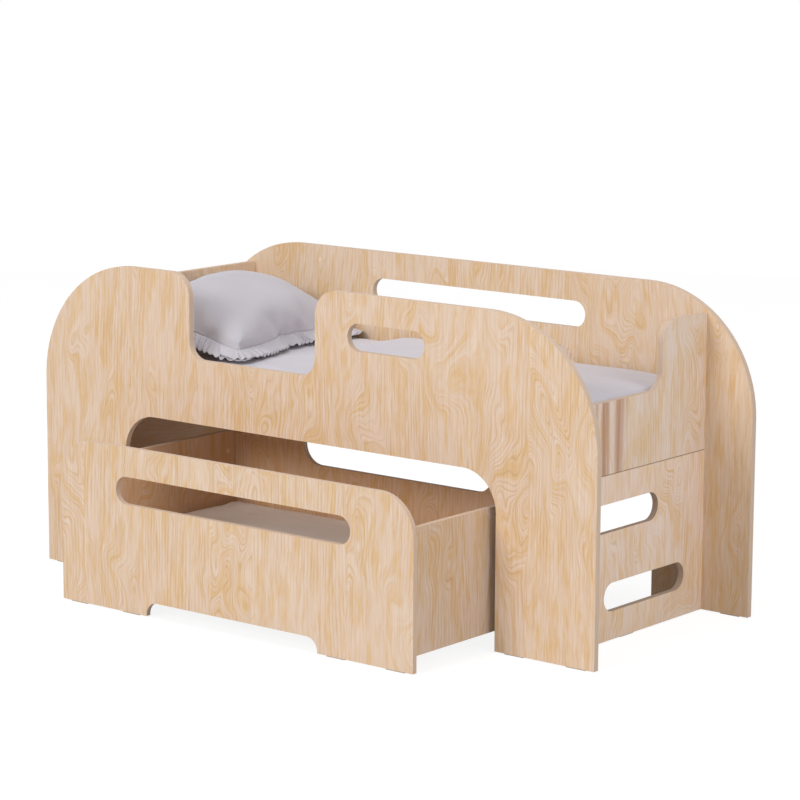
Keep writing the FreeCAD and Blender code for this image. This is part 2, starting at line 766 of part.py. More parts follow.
front_tall = "trundle_top - glide_height"
trundle_face = trundle_wall("trundle_front", trundle_front, front_tall)
round_corners(trundle_face, "trundle_front_top_corners", "trundle_radius",
              [("0", front_tall), ("trundle_width", front_tall)], "y")
grip = sketch_on(trundle_face, "trundle_grip", "XZ")
slot(grip, "( trundle_width - trundle_slot_length ) / 2", "trundle_slot_middle - glide_height",
     "trundle_slot_length", "trundle_slot_height")
pocket(trundle_face, grip, False)
trundle_wall_holes(trundle_face, True, "-1 * trundle_board")

back_tall = "side_top - glide_height"
trundle_back = trundle_wall("trundle_back", trundle_back_face, back_tall)
dip = sketch_on(trundle_back, "trundle_back_dip", "XZ")
dip_base = "back_dip - glide_height"
rectangle(dip, "back_ear", dip_base, "trundle_width - 2 * back_ear", "side_top - back_dip")
pocket(trundle_back, dip, False)
round_corners(trundle_back, "trundle_back_dip_corners", "back_radius",
              [("back_ear", dip_base), ("trundle_width - back_ear", dip_base)], "y")
trundle_wall_holes(trundle_back, False, "0")

side_tall = "( side_top - side_bottom )"


def trundle_side(name, left, inner_is_right):
    """A plain side board between the front and the back of the trundle."""
    body = new_body(name, left, trundle_front_face, "side_bottom")
    outline = sketch_on(body, name + "_outline", "YZ")
    rectangle(outline, "0", "0", trundle_inner_depth, side_tall)
    pad(body, outline, "trundle_board", False)
    levels = ["%s - side_bottom" % level for level in trundle_cams]
    cams = [(across, level) for level in levels
            for across in ("cam_reach", "%s - cam_reach" % trundle_inner_depth)]
    drill(body, name + "_cam_pockets", "YZ", cams, "cam_radius + fit_gap", "cam_depth + fit_gap",
          not inner_is_right, "trundle_board" if inner_is_right else "0")
    edges = [("trundle_board / 2", level) for level in levels]
    drill(body, name + "_front_bolt_holes", "XZ", edges, "cam_bolt_radius + fit_gap",
          "cam_reach", False)
    drill(body, name + "_rear_bolt_holes", "XZ", edges, "cam_bolt_radius + fit_gap",
          "cam_reach", True, "-1 * %s" % trundle_inner_depth)


trundle_side("trundle_left_side", "trundle_start", True)
trundle_side("trundle_right_side", trundle_right_face, False)

drawer_cams, drawer_bolts = [], []
for end, (face, cam_way) in enumerate(((trundle_left_face, left_way),
                                       (trundle_right_face, right))):
    for level_index, level in enumerate(trundle_cams):
        for side, (across, bolt_way, bolt_start) in enumerate((
                ("%s + cam_reach" % trundle_front_face, forward,
                 "%s - %s" % (trundle_front_face, trundle_bolt_bite)),
                ("%s - cam_reach" % trundle_back_face, back,
                 "%s - cam_reach + cam_bolt_end" % trundle_back_face))):
            cam, bolt = cam_and_bolt("trundle_cam_%d_%d_%d" % (end, level_index, side), face,
                                     cam_way, trundle_side_middles[end], across, level, bolt_way,
                                     bolt_start, trundle_bolt_bite)
            drawer_cams.append(cam)
            drawer_bolts.append(bolt)
group("trundle_cam_locks", drawer_cams)
group("trundle_cam_bolts", drawer_bolts)

trundle_screws = [("%s - %s" % (spot, trundle_left_face), "trundle_rail / 2")
                  for spot in trundle_screw_places]
trundle_front_rail = rail("trundle_front_rail", "XZ", trundle_left_face, trundle_front_face,
                          "side_bottom", inner_trundle, "trundle_rail", "trundle_rail",
                          trundle_screws, True, "-1 * trundle_rail")
trundle_back_rail = rail("trundle_back_rail", "XZ", trundle_left_face,
                         "%s - trundle_rail" % trundle_back_face, "side_bottom", inner_trundle,
                         "trundle_rail", "trundle_rail", trundle_screws, False, "0")
drawer_screws = []
for index, spot in enumerate(trundle_screw_places):
    drawer_screws.append(screw(
        "trundle_front_rail_screw_%d" % index,
        (spot, "%s + trundle_rail" % trundle_front_face, trundle_rail_level), forward,
        "trundle_rail + trundle_rail_screw_bite"))
    drawer_screws.append(screw(
        "trundle_back_rail_screw_%d" % index,
        (spot, "%s - trundle_rail" % trundle_back_face, trundle_rail_level), back,
        "trundle_rail + trundle_rail_screw_bite"))
group("trundle_rail_screws", drawer_screws)

trundle_rail_top = "( side_bottom + trundle_rail )"
trundle_slat_top = "( side_bottom + trundle_rail + trundle_slat_thickness )"
trundle_slat_length = "( %s - 2 * slat_end_gap )" % trundle_inner_depth
trundle_slat_middles = slats(
    "trundle_slat", trundle_slat_count, trundle_left_face, inner_trundle,
    "%s + slat_end_gap" % trundle_front_face, trundle_slat_length, trundle_rail_top,
    "trundle_slat_width", "trundle_slat_thickness", "( trundle_rail / 2 - slat_end_gap )")
for body in (trundle_front_rail, trundle_back_rail):
    drill(body, body.Name + "_slat_screw_holes", "XY",
          [("%s - %s" % (middle, trundle_left_face), "trundle_rail / 2")
           for middle in trundle_slat_middles],
          "screw_radius + fit_gap", "trundle_slat_bite + fit_gap", False, "trundle_rail")
trundle_rail_middles = ["%s + trundle_rail / 2" % trundle_front_face,
                        "%s - trundle_rail / 2" % trundle_back_face]
group("trundle_slat_screws", [
    screw("trundle_slat_screw_%d_%d" % (one, two), (middle, across, trundle_slat_top), down,
          "trundle_slat_thickness + trundle_slat_bite")
    for one, middle in enumerate(trundle_slat_middles)
    for two, across in enumerate(trundle_rail_middles)])


# Felt glides under the feet

def glide(name, middle, front_middle, along_x):
    length, width = ("glide_length", "glide_width") if along_x else ("glide_width", "glide_length")
    return box(name, length, width, "glide_height", "%s - %s / 2" % (middle, length),
               "%s - %s / 2" % (front_middle, width), "0")


glide_reach = "( glide_margin + glide_length / 2 )"
bed_glides = []
for side, across in enumerate(("board / 2", "bed_width - board / 2")):
    for spot, middle in enumerate((glide_reach, "leg_width - %s" % glide_reach,
                                   "bed_length - leg_width + %s" % glide_reach,
                                   "bed_length - %s" % glide_reach)):
        bed_glides.append(glide("bed_glide_%d_%d" % (side, spot), middle, across, True))
for end, middle in enumerate(end_middles):
    bed_glides.append(glide("bed_glide_end_%d" % end, middle, "bed_width / 2", False))
group("bed_glides", bed_glides)

drawer_glides = []
for side, across in enumerate(("%s - trundle_board / 2" % trundle_front_face,
                               "%s + trundle_board / 2" % trundle_back_face)):
    for spot, middle in enumerate(("trundle_start + %s" % glide_reach,
                                   "trundle_start + foot_length - glide_length",
                                   "%s - foot_length + glide_length" % trundle_end,
                                   "%s - %s" % (trundle_end, glide_reach))):
        drawer_glides.append(glide("trundle_glide_%d_%d" % (side, spot), middle, across, True))
group("trundle_glides", drawer_glides)


# Soft parts: closed forms lofted through rounded rectangles

def soft_form(name, length, width, thickness, corner, levels):
    """A cushion whose sides draw in towards its two faces.

    levels holds pairs of shares: the height as a share of the thickness, and how far each side
    is drawn in there as a share of the thickness.
    """
    wires = []
    for height_share, inset_share in levels:
        inset = inset_share * thickness
        half_x, half_y = length / 2 - inset, width / 2 - inset
        level = height_share * thickness
        lean = corner * math.cos(math.pi / 4)
        edges = []
        for sign_x, sign_y in ((1, 1), (-1, 1), (-1, -1), (1, -1)):
            centre = Vector(sign_x * (half_x - corner), sign_y * (half_y - corner), level)
            on_x = centre + Vector(sign_x * corner, 0, 0)
            on_y = centre + Vector(0, sign_y * corner, 0)
            middle = centre + Vector(sign_x * lean, sign_y * lean, 0)
            ends = (on_x, on_y) if sign_x * sign_y > 0 else (on_y, on_x)
            edges.append((ends[0], middle, ends[1]))
        outline = []
        for index, (start, middle, end) in enumerate(edges):
            outline.append(Part.Arc(start, middle, end).toShape())
            outline.append(Part.LineSegment(end, edges[(index + 1) % 4][0]).toShape())
        wires.append(Part.Wire(outline))
    form = doc.addObject("Part::Feature", name)
    form.Shape = Part.makeLoft(wires, True, True)
    return form


def seat(form, turn, left, front, bottom):
    """Turns a soft form about its own origin and sets it at a place in bed coordinates."""
    spot = Vector(number("%s - %s" % (left, origin_x)), number("%s - %s" % (front, origin_y)),
                  number(bottom))
    form.Placement = FreeCAD.Placement(spot, turn)


mattress_levels_shares = [(0, 0.14), (0.12, 0.03), (0.3, 0), (0.7, 0), (0.88, 0.03), (0.97, 0.13),
                          (1, 0.5)]
pillow_levels_shares = [(-0.24, 0.6), (-0.15, 0.25), (0, 0), (0.28, 0.1), (0.52, 0.36),
                        (0.68, 0.8)]
level_turn = Rotation()

mattress = soft_form("bed_mattress", number("%s - 2 * mattress_gap" % inner_length),
                     number("%s - 2 * mattress_gap" % inner_width),
                     number("mattress_thickness"), number("mattress_round"),
                     mattress_levels_shares)
seat(mattress, level_turn, "bed_length / 2", "bed_width / 2", slat_top)
lone(mattress, "bed_mattress")

drawer_mattress = soft_form("trundle_mattress", number("%s - 2 * mattress_gap" % inner_trundle),
                            number("%s - 2 * mattress_gap" % trundle_inner_depth),
                            number("trundle_mattress_thickness"), number("mattress_round"),
                            mattress_levels_shares)
seat(drawer_mattress, level_turn, "( trundle_start + trundle_width / 2 )",
     "( trundle_depth / 2 - trundle_out )", trundle_slat_top)
lone(drawer_mattress, "trundle_mattress")

# The pillow leans on the head board with one corner of its frill: its foot end lies on the
# mattress, its other end is up, and its front end is turned a little towards the foot
turn = Rotation(Vector(0, 0, 1), pillow_turn_degrees)
tilt = turn.multiply(Rotation(Vector(0, 1, 0), pillow_tilt_degrees))
slope = math.radians(pillow_tilt_degrees)
swing = math.radians(pillow_turn_degrees)
pillow_reach = number("pillow_length / 2 + frill_width")
frill_round = number("pillow_round + frill_width")
half_frill = number("frill_thickness / 2")
lean_across = math.cos(slope) * math.cos(swing)
lean_along = math.sin(swing)
pillow_run = (pillow_reach - frill_round) * lean_across
pillow_run += (number("pillow_width / 2 + frill_width") - frill_round) * lean_along
pillow_run += frill_round * math.hypot(lean_across, lean_along)
pillow_rise = pillow_reach * math.sin(slope)
pillow = soft_form("pillow", number("pillow_length"), number("pillow_width"),
                   number("pillow_thickness"), number("pillow_round"), pillow_levels_shares)
mattress_top = "( %s + mattress_thickness )" % slat_top
pillow_left = number("%s + soft_gap" % head_face) + pillow_run + half_frill * math.sin(slope)
pillow_level = number("%s + frill_lift" % mattress_top) + pillow_rise + half_frill
pillow_place = Vector(pillow_left - number(origin_x), number("bed_width / 2 - %s" % origin_y),
                      pillow_level)
pillow.Placement = FreeCAD.Placement(pillow_place, tilt)
lone(pillow, "pillow")

# The frill runs round the seam of the pillow
seam_gap = number("seam_gap")


def rounded_plate(length, width, thickness, corner):
    """A flat plate with rounded corners, centred on its own origin."""
    plate = Part.makeBox(length, width, thickness,
                         Vector(-length / 2, -width / 2, -thickness / 2))
    upright = [edge for edge in plate.Edges
               if edge.Vertexes[0].X == edge.Vertexes[-1].X
               and edge.Vertexes[0].Y == edge.Vertexes[-1].Y]
    return plate.makeFillet(corner, upright)


frill_thickness = number("frill_thickness")
frill_width = number("frill_width")
outer = rounded_plate(number("pillow_length") + 2 * frill_width,
                      number("pillow_width") + 2 * frill_width, frill_thickness,
                      number("pillow_round") + frill_width)
opening = rounded_plate(number("pillow_length") + 2 * seam_gap,
                        number("pillow_width") + 2 * seam_gap, frill_thickness,
                        number("pillow_round") + seam_gap)
frill = doc.addObject("Part::Feature", "pillow_frill")
frill.Shape = outer.cut(opening)
frill.Placement = FreeCAD.Placement(pillow_place, tilt)
lone(frill, "pillow_frill")

# Checks, then one file for each node
doc.recompute()
for item in doc.Objects:
    if "Invalid" in item.State or "Error" in item.State:
        raise RuntimeError("%s failed: %s" % (item.Name, item.State))
for item in nodes:
    if item.Shape.isNull() or not item.Shape.isValid():
        raise RuntimeError("%s has no valid shape" % item.Label)
for item in nodes:
    item.Shape.exportStep("parts/%s.step" % item.Label)
print(len(nodes), "nodes")
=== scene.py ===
"""Finishes a plywood child's bed with its pull-out trundle: wood, fittings, mattresses, pillow.

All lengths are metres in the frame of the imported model: x runs along the bed from its head,
y to its back and z up, with the origin on the floor under the middle of the whole object.
"""
import math
from functools import cache

import bmesh
import bpy
from mathutils import Color, Matrix, Vector, noise


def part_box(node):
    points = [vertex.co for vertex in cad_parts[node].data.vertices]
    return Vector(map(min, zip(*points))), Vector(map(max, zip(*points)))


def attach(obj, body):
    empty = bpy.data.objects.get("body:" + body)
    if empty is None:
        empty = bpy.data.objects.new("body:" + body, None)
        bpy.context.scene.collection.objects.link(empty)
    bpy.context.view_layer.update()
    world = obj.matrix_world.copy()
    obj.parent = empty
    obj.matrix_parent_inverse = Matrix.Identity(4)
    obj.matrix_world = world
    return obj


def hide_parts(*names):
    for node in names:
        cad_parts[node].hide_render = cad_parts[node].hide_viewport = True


bl_info = {
    "name": "Plywood child's bed",
    "version": (1, 0, 0),
    "blender": (4, 5, 0),
    "location": "3D View > Sidebar > Child's bed",
    "description": "Wood, fittings, mattresses, pillow and studio of a plywood bed with a trundle",
    "category": "Object",
}

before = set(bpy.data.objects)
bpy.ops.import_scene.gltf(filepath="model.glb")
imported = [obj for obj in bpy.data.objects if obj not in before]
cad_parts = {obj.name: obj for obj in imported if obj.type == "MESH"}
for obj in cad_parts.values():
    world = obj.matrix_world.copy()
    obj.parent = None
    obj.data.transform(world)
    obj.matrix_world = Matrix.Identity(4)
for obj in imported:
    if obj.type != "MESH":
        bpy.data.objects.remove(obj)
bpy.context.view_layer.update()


def paint(red, green, blue):
    """A colour given as it is seen, 0 to 255 each, in the linear values that sockets hold."""
    seen = Color((red / 255, green / 255, blue / 255))
    return tuple(seen.from_srgb_to_scene_linear())


def solid(colour, tone=(1.0, 1.0, 1.0)):
    """A colour socket's value, with each channel scaled by its share of a tone."""
    return (*[channel * share for channel, share in zip(colour, tone)], 1.0)


def colour_choice(name, description, *seen):
    """A property for a colour, with its default given as it is seen."""
    return bpy.props.FloatVectorProperty(
        name=name, description=description, subtype="COLOR", size=3, default=paint(*seen))


# Sizes and colours that a user would change


class WoodLook(bpy.types.PropertyGroup):
    """Pine-faced plywood under a matt lacquer."""

    pale: colour_choice("Early wood", "Pale pinkish bands of the veneer", 233, 210, 189)
    gold: colour_choice("Late wood", "Golden streaks of the veneer", 227, 192, 146)
    line: colour_choice("Ring lines", "Thin darker lines where a year ends", 196, 156, 116)
    red: colour_choice("Resin streaks", "Reddish streaks of the upper foot board", 180, 132, 100)
    edge_long: colour_choice("Long plies", "Plies cut along the grain at a board's edge",
                             218, 195, 175)
    edge_end: colour_choice("End plies", "Plies cut across the grain at a board's edge",
                            186, 160, 140)
    leaf: bpy.props.FloatProperty(
        name="Leaf width", description="Width of one leaf of veneer", unit="LENGTH", default=0.47)
    ring: bpy.props.FloatProperty(
        name="Ring width", description="Mean distance of two year lines on a board",
        unit="LENGTH", default=0.0115)
    swirl: bpy.props.FloatProperty(
        name="Swirl", description="How many rings a hill in the peeled log shifts the figure",
        default=13.0)
    plies: bpy.props.IntProperty(
        name="Plies", description="Layers of a board", default=9)
    relief: bpy.props.FloatProperty(
        name="Grain relief", description="Height of the late wood over the early wood",
        unit="LENGTH", default=0.0003)


class ClothLook(bpy.types.PropertyGroup):
    """Washed cotton of the bedding."""

    sheet: colour_choice("Bedding", "Lilac-grey cotton of the pillow and the bed's sheet",
                         204, 200, 208)
    trundle: colour_choice("Trundle sheet", "Pinkish-grey cotton of the trundle's sheet",
                           245, 233, 224)
    thread: bpy.props.FloatProperty(
        name="Thread", description="Distance between neighbouring threads", unit="LENGTH",
        default=0.0006)
    pleats: bpy.props.IntProperty(
        name="Pleats", description="Pleats of the frill round the whole pillow", default=116)
    pleat_depth: bpy.props.FloatProperty(
        name="Pleat depth", description="How far a pleat swings at the frill's free edge",
        unit="LENGTH", default=0.0048)


class StudioLook(bpy.types.PropertyGroup):
    """Camera, lamps and the white floor."""

    camera_place: bpy.props.FloatVectorProperty(
        name="Camera place", description="Where the camera stands", subtype="TRANSLATION",
        unit="LENGTH", size=3, default=(5.1686, -6.2195, 2.0116))
    camera_turn: bpy.props.FloatVectorProperty(
        name="Camera turn", description="Turn of the view towards the bed's head, down and askew",
        subtype="EULER", unit="ROTATION", size=3, default=(0.67703, 0.17727, 0.00507))
    lens: bpy.props.FloatProperty(
        name="Lens", description="Focal length on a 36 mm wide sensor", unit="CAMERA",
        default=133.585)
    sky: bpy.props.FloatProperty(
        name="Sky light", description="Strength of the even white light", default=0.5)
    key: bpy.props.FloatProperty(
        name="Key lamp", description="Power of the large lamp in front on the left",
        unit="POWER", default=960.0)
    fill: bpy.props.FloatProperty(
        name="Fill lamp", description="Power of the large lamp at the foot end", unit="POWER",
        default=72.0)
    top: bpy.props.FloatProperty(
        name="Overhead lamp", description="Power of the large lamp over the bed", unit="POWER",
        default=52.0)
    floor_glow: bpy.props.FloatProperty(
        name="Floor white", description="Share of plain white in the floor that the camera sees",
        subtype="FACTOR", default=0.7)


# Node trees


class Net:
    """Adds nodes to a tree and links or sets what they are given."""

    def __init__(self, tree):
        self.tree = tree

    def feed(self, node, inputs):
        """Gives each input one value or socket, or a list of sockets."""
        for key, value in inputs.items():
            if isinstance(value, (list, bpy.types.NodeSocket)):
                for socket in value if isinstance(value, list) else [value]:
                    self.tree.links.new(socket, node.inputs[key])
            else:
                node.inputs[key].default_value = value

    def add(self, kind, inputs=None, **settings):
        made = self.tree.nodes.new(kind)
        for name, value in settings.items():
            setattr(made, name, value)
        self.feed(made, inputs or {})
        return made

    def out(self, kind, inputs=None, **settings):
        """A new node's first output."""
        return self.add(kind, inputs, **settings).outputs[0]

    def calc(self, operation, *values):
        return self.out("ShaderNodeMath", dict(enumerate(values)), operation=operation)

    def plus(self, first, second):
        return self.calc("ADD", first, second)

    def times(self, first, second):
        return self.calc("MULTIPLY", first, second)

    def times_plus(self, first, second, third):
        return self.calc("MULTIPLY_ADD", first, second, third)

    def vector(self, operation, *values):
        return self.out("ShaderNodeVectorMath", dict(enumerate(values)), operation=operation)

    def combine(self, across=0.0, along=0.0, depth=0.0):
        return self.out("ShaderNodeCombineXYZ", {"X": across, "Y": along, "Z": depth})

    def split(self, vector):
        return self.add("ShaderNodeSeparateXYZ", {"Vector": vector}).outputs

    def place(self, kind="Object"):
        return self.add("ShaderNodeTexCoord").outputs[kind]

    def clouds(self, vector, scale, detail=2.0, roughness=0.5):
        """Smooth noise about one half, finer along each axis by the scale given for it."""
        return self.out("ShaderNodeTexNoise", {
            "Vector": self.vector("MULTIPLY", vector, scale), "Scale": 1.0, "Detail": detail,
            "Roughness": roughness})

    def spread(self, value, low, high, new_low=0.0, new_high=1.0, shape="SMOOTHSTEP"):
        return self.out("ShaderNodeMapRange", {
            "Value": value, "From Min": low, "From Max": high, "To Min": new_low,
            "To Max": new_high}, interpolation_type=shape)

    def mix(self, share, first, second, blend="MIX"):
        return self.add("ShaderNodeMix", {"Factor": share, 6: first, 7: second},
                        data_type="RGBA", blend_type=blend).outputs[2]

    def ramp(self, value, stops):
        """A ramp of grey levels at the given places."""
        made = self.add("ShaderNodeValToRGB", {"Fac": value})
        marks = made.color_ramp.elements
        while len(marks) < len(stops):
            marks.new(0.5)
        for mark, (place, level) in zip(marks, stops):
            mark.position = place
            mark.color = (level, level, level, 1.0)
        return made.outputs["Color"]

    def bump(self, height, distance, strength):
        return self.out("ShaderNodeBump", {
            "Height": height, "Distance": distance, "Strength": strength})

    def effect(self, group, inputs):
        """A shared effect with its own values."""
        return self.add("ShaderNodeGroup", inputs, node_tree=group).outputs

    def seen_directly(self):
        """One for rays that the camera, a mirror or glass looks along, else none."""
        rays = self.add("ShaderNodeLightPath").outputs
        return self.calc("MAXIMUM", rays["Is Camera Ray"], self.calc(
            "MAXIMUM", rays["Is Glossy Ray"], rays["Is Transmission Ray"]))


def new_group(name, kind, inputs, outputs):
    """A node group; an input is given by its default, or by its type where it has none."""
    tree = bpy.data.node_groups.new(name, kind + "NodeTree")
    for label, default in inputs.items():
        word = default if isinstance(default, str) else type(default).__name__.title()
        made = tree.interface.new_socket(label, in_out="INPUT", socket_type="NodeSocket" + word)
        if default != word:
            made.default_value = default
    for label, word in outputs.items():
        tree.interface.new_socket(label, in_out="OUTPUT", socket_type="NodeSocket" + word)
    net = Net(tree)
    return net, net.add("NodeGroupInput").outputs, net.add("NodeGroupOutput")


@cache
def veneer_group():
    """Peeled pine veneer: wavy year lines that flow round swirls, in pinkish and golden tints."""
    net, given, put = new_group("peeled veneer", "Shader", {
        "Place": "Vector", "Seed": 0.0, "Leaf": 0.47, "Ring": 0.0115, "Swirl": 13.0,
        "Resin": 0.0, "Pale": "Color", "Gold": "Color", "Line": "Color", "Red": "Color"},
        {"Color": "Color", "Roughness": "Float", "Height": "Float"})
    across, along, _ = net.split(given["Place"])
    # Each leaf of veneer is cut from another place of the log
    leaf = net.calc("FLOOR", net.times_plus(given["Seed"], 0.37, net.calc(
        "DIVIDE", across, given["Leaf"])))
    chance = net.add("ShaderNodeTexWhiteNoise", {
        "W": net.times_plus(given["Seed"], 13.0, leaf)}, noise_dimensions="1D")
    shift = net.vector("MULTIPLY", chance.outputs["Color"], (9.0, 9.0, 9.0))
    flat = net.vector("ADD", net.combine(across, along), shift)
    # Rings are counted across the grain, which sways, and are bent round hills in the log
    ripple = net.times_plus(net.clouds(flat, (30.0, 20.0, 1.0), 1.0), 0.008, -0.004)
    sway = net.times_plus(net.clouds(flat, (3.2, 1.9, 1.0), 1.0), 0.08, ripple)
    swayed = net.vector("ADD", flat, net.combine(sway))
    hills = net.spread(net.clouds(swayed, (6.6, 2.8, 1.0), 1.5, 0.45), 0.5, 0.76)
    straight = net.calc("DIVIDE", net.plus(across, sway), given["Ring"])
    even = net.times_plus(hills, given["Swirl"], straight)
    years = net.clouds(net.combine(even, along, given["Seed"]), (0.35, 0.6, 1.0), 1.0)
    field = net.times_plus(years, 1.6, even)
    ring = net.calc("FRACT", field)
    tone = net.ramp(ring, [(0.0, 0.1), (0.4, 0.3), (0.85, 1.0), (1.0, 0.1)])
    line = net.ramp(ring, [(0.0, 0.3), (0.1, 0.0), (0.62, 0.0), (0.88, 1.0), (1.0, 0.3)])
    # Golden late wood gathers in flames and flecks that follow the rings
    flow = net.combine(net.times(field, 0.42), net.times(along, 5.0), given["Seed"])
    flames = net.clouds(flow, (1.0, 1.0, 1.0), 3.0, 0.6)
    flecks = net.clouds(flow, (3.2, 3.0, 1.0), 2.0, 0.6)
    presence = net.spread(net.clouds(flat, (7.0, 3.0, 1.0), 2.0), 0.36, 0.62, 0.1, 1.0)
    hair = net.clouds(flat, (420.0, 7.0, 1.0), 2.0, 0.6)
    share = net.plus(net.spread(flames, 0.42, 0.62, 0.0, 0.72), net.times(
        net.times(tone, presence), 0.42))
    share = net.plus(share, net.spread(flecks, 0.36, 0.64, -0.3, 0.24))
    colour = net.mix(share, given["Pale"], given["Gold"])
    dark = net.times(net.times(line, presence), 0.34)
    colour = net.mix(dark, colour, given["Line"])
    # Resin stands in the front part of a board and fades towards its back
    streak = net.spread(net.clouds(flat, (40.0, 1.2, 1.0), 2.0), 0.44, 0.7)
    front = net.spread(across, 0.08, 0.26, 1.0, 0.0)
    resin = net.times(net.times(streak, front), given["Resin"])
    colour = net.mix(resin, colour, given["Red"])
    fine = net.spread(hair, 0.3, 0.72, 0.0, 0.22)
    net.feed(put, {
        "Color": net.mix(fine, colour, given["Line"], "MULTIPLY"),
        "Roughness": net.spread(share, 0.0, 1.0, 0.56, 0.44),
        "Height": net.times_plus(hair, 0.35, tone)})
    return net.tree


@cache
def ply_group():
    """The edge of a board: plies cut along and across their grain in turn."""
    net, given, put = new_group("ply layers", "Shader", {
        "Place": "Vector", "Board": 0.018, "Plies": 9.0, "Along the grain": "Color",
        "Across the grain": "Color"}, {"Color": "Color", "Height": "Float"})
    depth = net.split(given["Place"])[2]
    layer = net.calc("DIVIDE", net.times(depth, given["Plies"]), given["Board"])
    odd = net.calc("FLOORED_MODULO", net.calc("FLOOR", layer), 2.0)
    glue = net.spread(net.calc("PINGPONG", layer, 0.5), 0.0, 0.12, 0.3, 0.0)
    fibres = net.clouds(given["Place"], (260.0, 260.0, 900.0), 2.0, 0.7)
    smears = net.clouds(given["Place"], (14.0, 14.0, 700.0), 1.0)
    share = net.plus(net.times_plus(odd, 0.62, glue), net.times_plus(
        net.plus(fibres, smears), 0.45, -0.4))
    net.feed(put, {
        "Color": net.mix(share, given["Along the grain"], given["Across the grain"]),
        "Height": net.times_plus(odd, -0.4, fibres)})
    return net.tree


@cache
def bar_group():
    """Sawn pine: nearly straight year lines, the same on all sides of a bar."""
    net, given, put = new_group("sawn pine", "Shader", {
        "Place": "Vector", "Seed": 0.0, "Pale": "Color", "Gold": "Color"},
        {"Color": "Color", "Height": "Float"})
    seed = given["Seed"]
    place = net.vector("ADD", given["Place"], net.combine(seed, seed, seed))
    ring = net.calc("FRACT", net.times(net.clouds(place, (9.0, 0.45, 9.0), 1.0), 17.0))
    tone = net.ramp(ring, [(0.0, 0.05), (0.45, 0.2), (0.88, 1.0), (1.0, 0.05)])
    hair = net.clouds(place, (380.0, 6.0, 380.0), 2.0, 0.6)
    share = net.times_plus(hair, 0.5, net.times_plus(tone, 0.7, -0.2))
    net.feed(put, {
        "Color": net.mix(share, given["Pale"], given["Gold"]),
        "Height": net.times_plus(hair, 0.5, tone)})
    return net.tree


@cache
def weave_group():
    """Plain weave with slubs; the third coordinate is folded in, so a box's sides weave too."""
    net, given, put = new_group("plain weave", "Shader", {
        "Place": "Vector", "Thread": 0.0006, "Color": "Color", "Shade": "Color"},
        {"Color": "Color", "Height": "Float"})
    across, along, up = net.split(given["Place"])
    turns = net.calc("DIVIDE", math.pi, given["Thread"])
    warp, weft = [net.calc("SINE", net.times(net.plus(value, up), turns))
                  for value in (across, along)]
    slubs = net.clouds(given["Place"], (900.0, 60.0, 200.0), 2.0, 0.6)
    wear = net.clouds(given["Place"], (5.0, 5.0, 5.0), 3.0, 0.55)
    share = net.plus(net.spread(wear, 0.3, 0.7, 0.0, 0.45), net.times(slubs, 0.35))
    net.feed(put, {
        "Color": net.mix(share, given["Color"], given["Shade"]),
        "Height": net.times_plus(net.times(warp, weft), 0.5, slubs)})
    return net.tree


def new_material(name):
    """A material with its net and its Principled shader."""
    material = bpy.data.materials.new(name)
    material.use_nodes = True
    return material, Net(material.node_tree), material.node_tree.nodes["Principled BSDF"]


def object_place(net, order, low):
    """Object coordinates reordered to (across, along, depth), with depth from a low face."""
    parts = dict(zip("xyz", net.split(net.place())))
    across, along, depth = [parts[axis] for axis in order]
    return net.combine(across, along, net.calc("SUBTRACT", depth, low))


def cotton(name, colour, thread, weave_place="Object"):
    """Washed cotton, woven in space or along the piece's own map."""
    material, net, shader = new_material(name)
    weave = net.effect(weave_group(), {
        "Place": net.place(weave_place), "Thread": thread,
        "Color": solid(colour), "Shade": solid(colour, (0.9, 0.9, 0.9))})
    net.feed(shader, {
        "Base Color": weave["Color"], "Roughness": 0.88, "Sheen Weight": 0.2,
        "Sheen Roughness": 0.5, "Specular IOR Level": 0.2,
        "Normal": net.bump(weave["Height"], thread / 4, 0.5)})
    return material


def zinc():
    """Zinc-plated steel with a mottled dullness."""
    material, net, shader = new_material("zinc plate")
    mottle = net.clouds(net.place(), (220.0, 220.0, 220.0), 3.0, 0.6)
    bright, dull = paint(205, 206, 202), paint(168, 170, 168)
    net.feed(shader, {
        "Base Color": net.mix(mottle, solid(bright), solid(dull)),
        "Roughness": net.spread(mottle, 0.3, 0.7, 0.28, 0.46), "Metallic": 1.0,
        "Normal": net.bump(mottle, 0.0002, 0.3)})
    return material


def felt():
    """Pressed wool felt."""
    material, net, shader = new_material("wool felt")
    fuzz = net.clouds(net.place(), (900.0, 900.0, 900.0), 3.0, 0.7)
    dark, pale = paint(186, 172, 156), paint(208, 196, 180)
    net.feed(shader, {
        "Base Color": net.mix(fuzz, solid(dark), solid(pale)), "Roughness": 0.95,
        "Sheen Weight": 0.4, "Normal": net.bump(fuzz, 0.0006, 0.8)})
    return material


def dress(node, material):
    """Gives a CAD node's object one material."""
    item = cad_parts[node]
    item.data.materials.clear()
    item.data.materials.append(material)


# Boards, rails and slats

BOARD_ORDERS = {
    # across, along and through the grain of each board
    "front_panel": "xzy", "rear_panel": "xzy", "trundle_front": "xzy", "trundle_back": "xzy",
    "head_panel": "yzx", "foot_panel": "yzx", "ladder_panel": "yzx", "head_lower_panel": "zyx",
    "trundle_left_side": "yzx", "trundle_right_side": "yzx",
}
# Veneer tone board by board, the share of red, green and blue that each keeps: partly the veneer
# differing from board to board and partly painted light and shade, lighter and cooler on the foot
# and ladder boards, darker on the rear board and much darker on the trundle's right side in the
# shade under the bed
BOARD_TONES_AND_PAINTED_LIGHT = {
    "rear_panel": (0.95, 0.96, 0.95), "foot_panel": (1.0, 1.06, 1.18),
    "ladder_panel": (1.06, 1.1, 1.2), "trundle_right_side": (0.83, 0.83, 0.85),
}
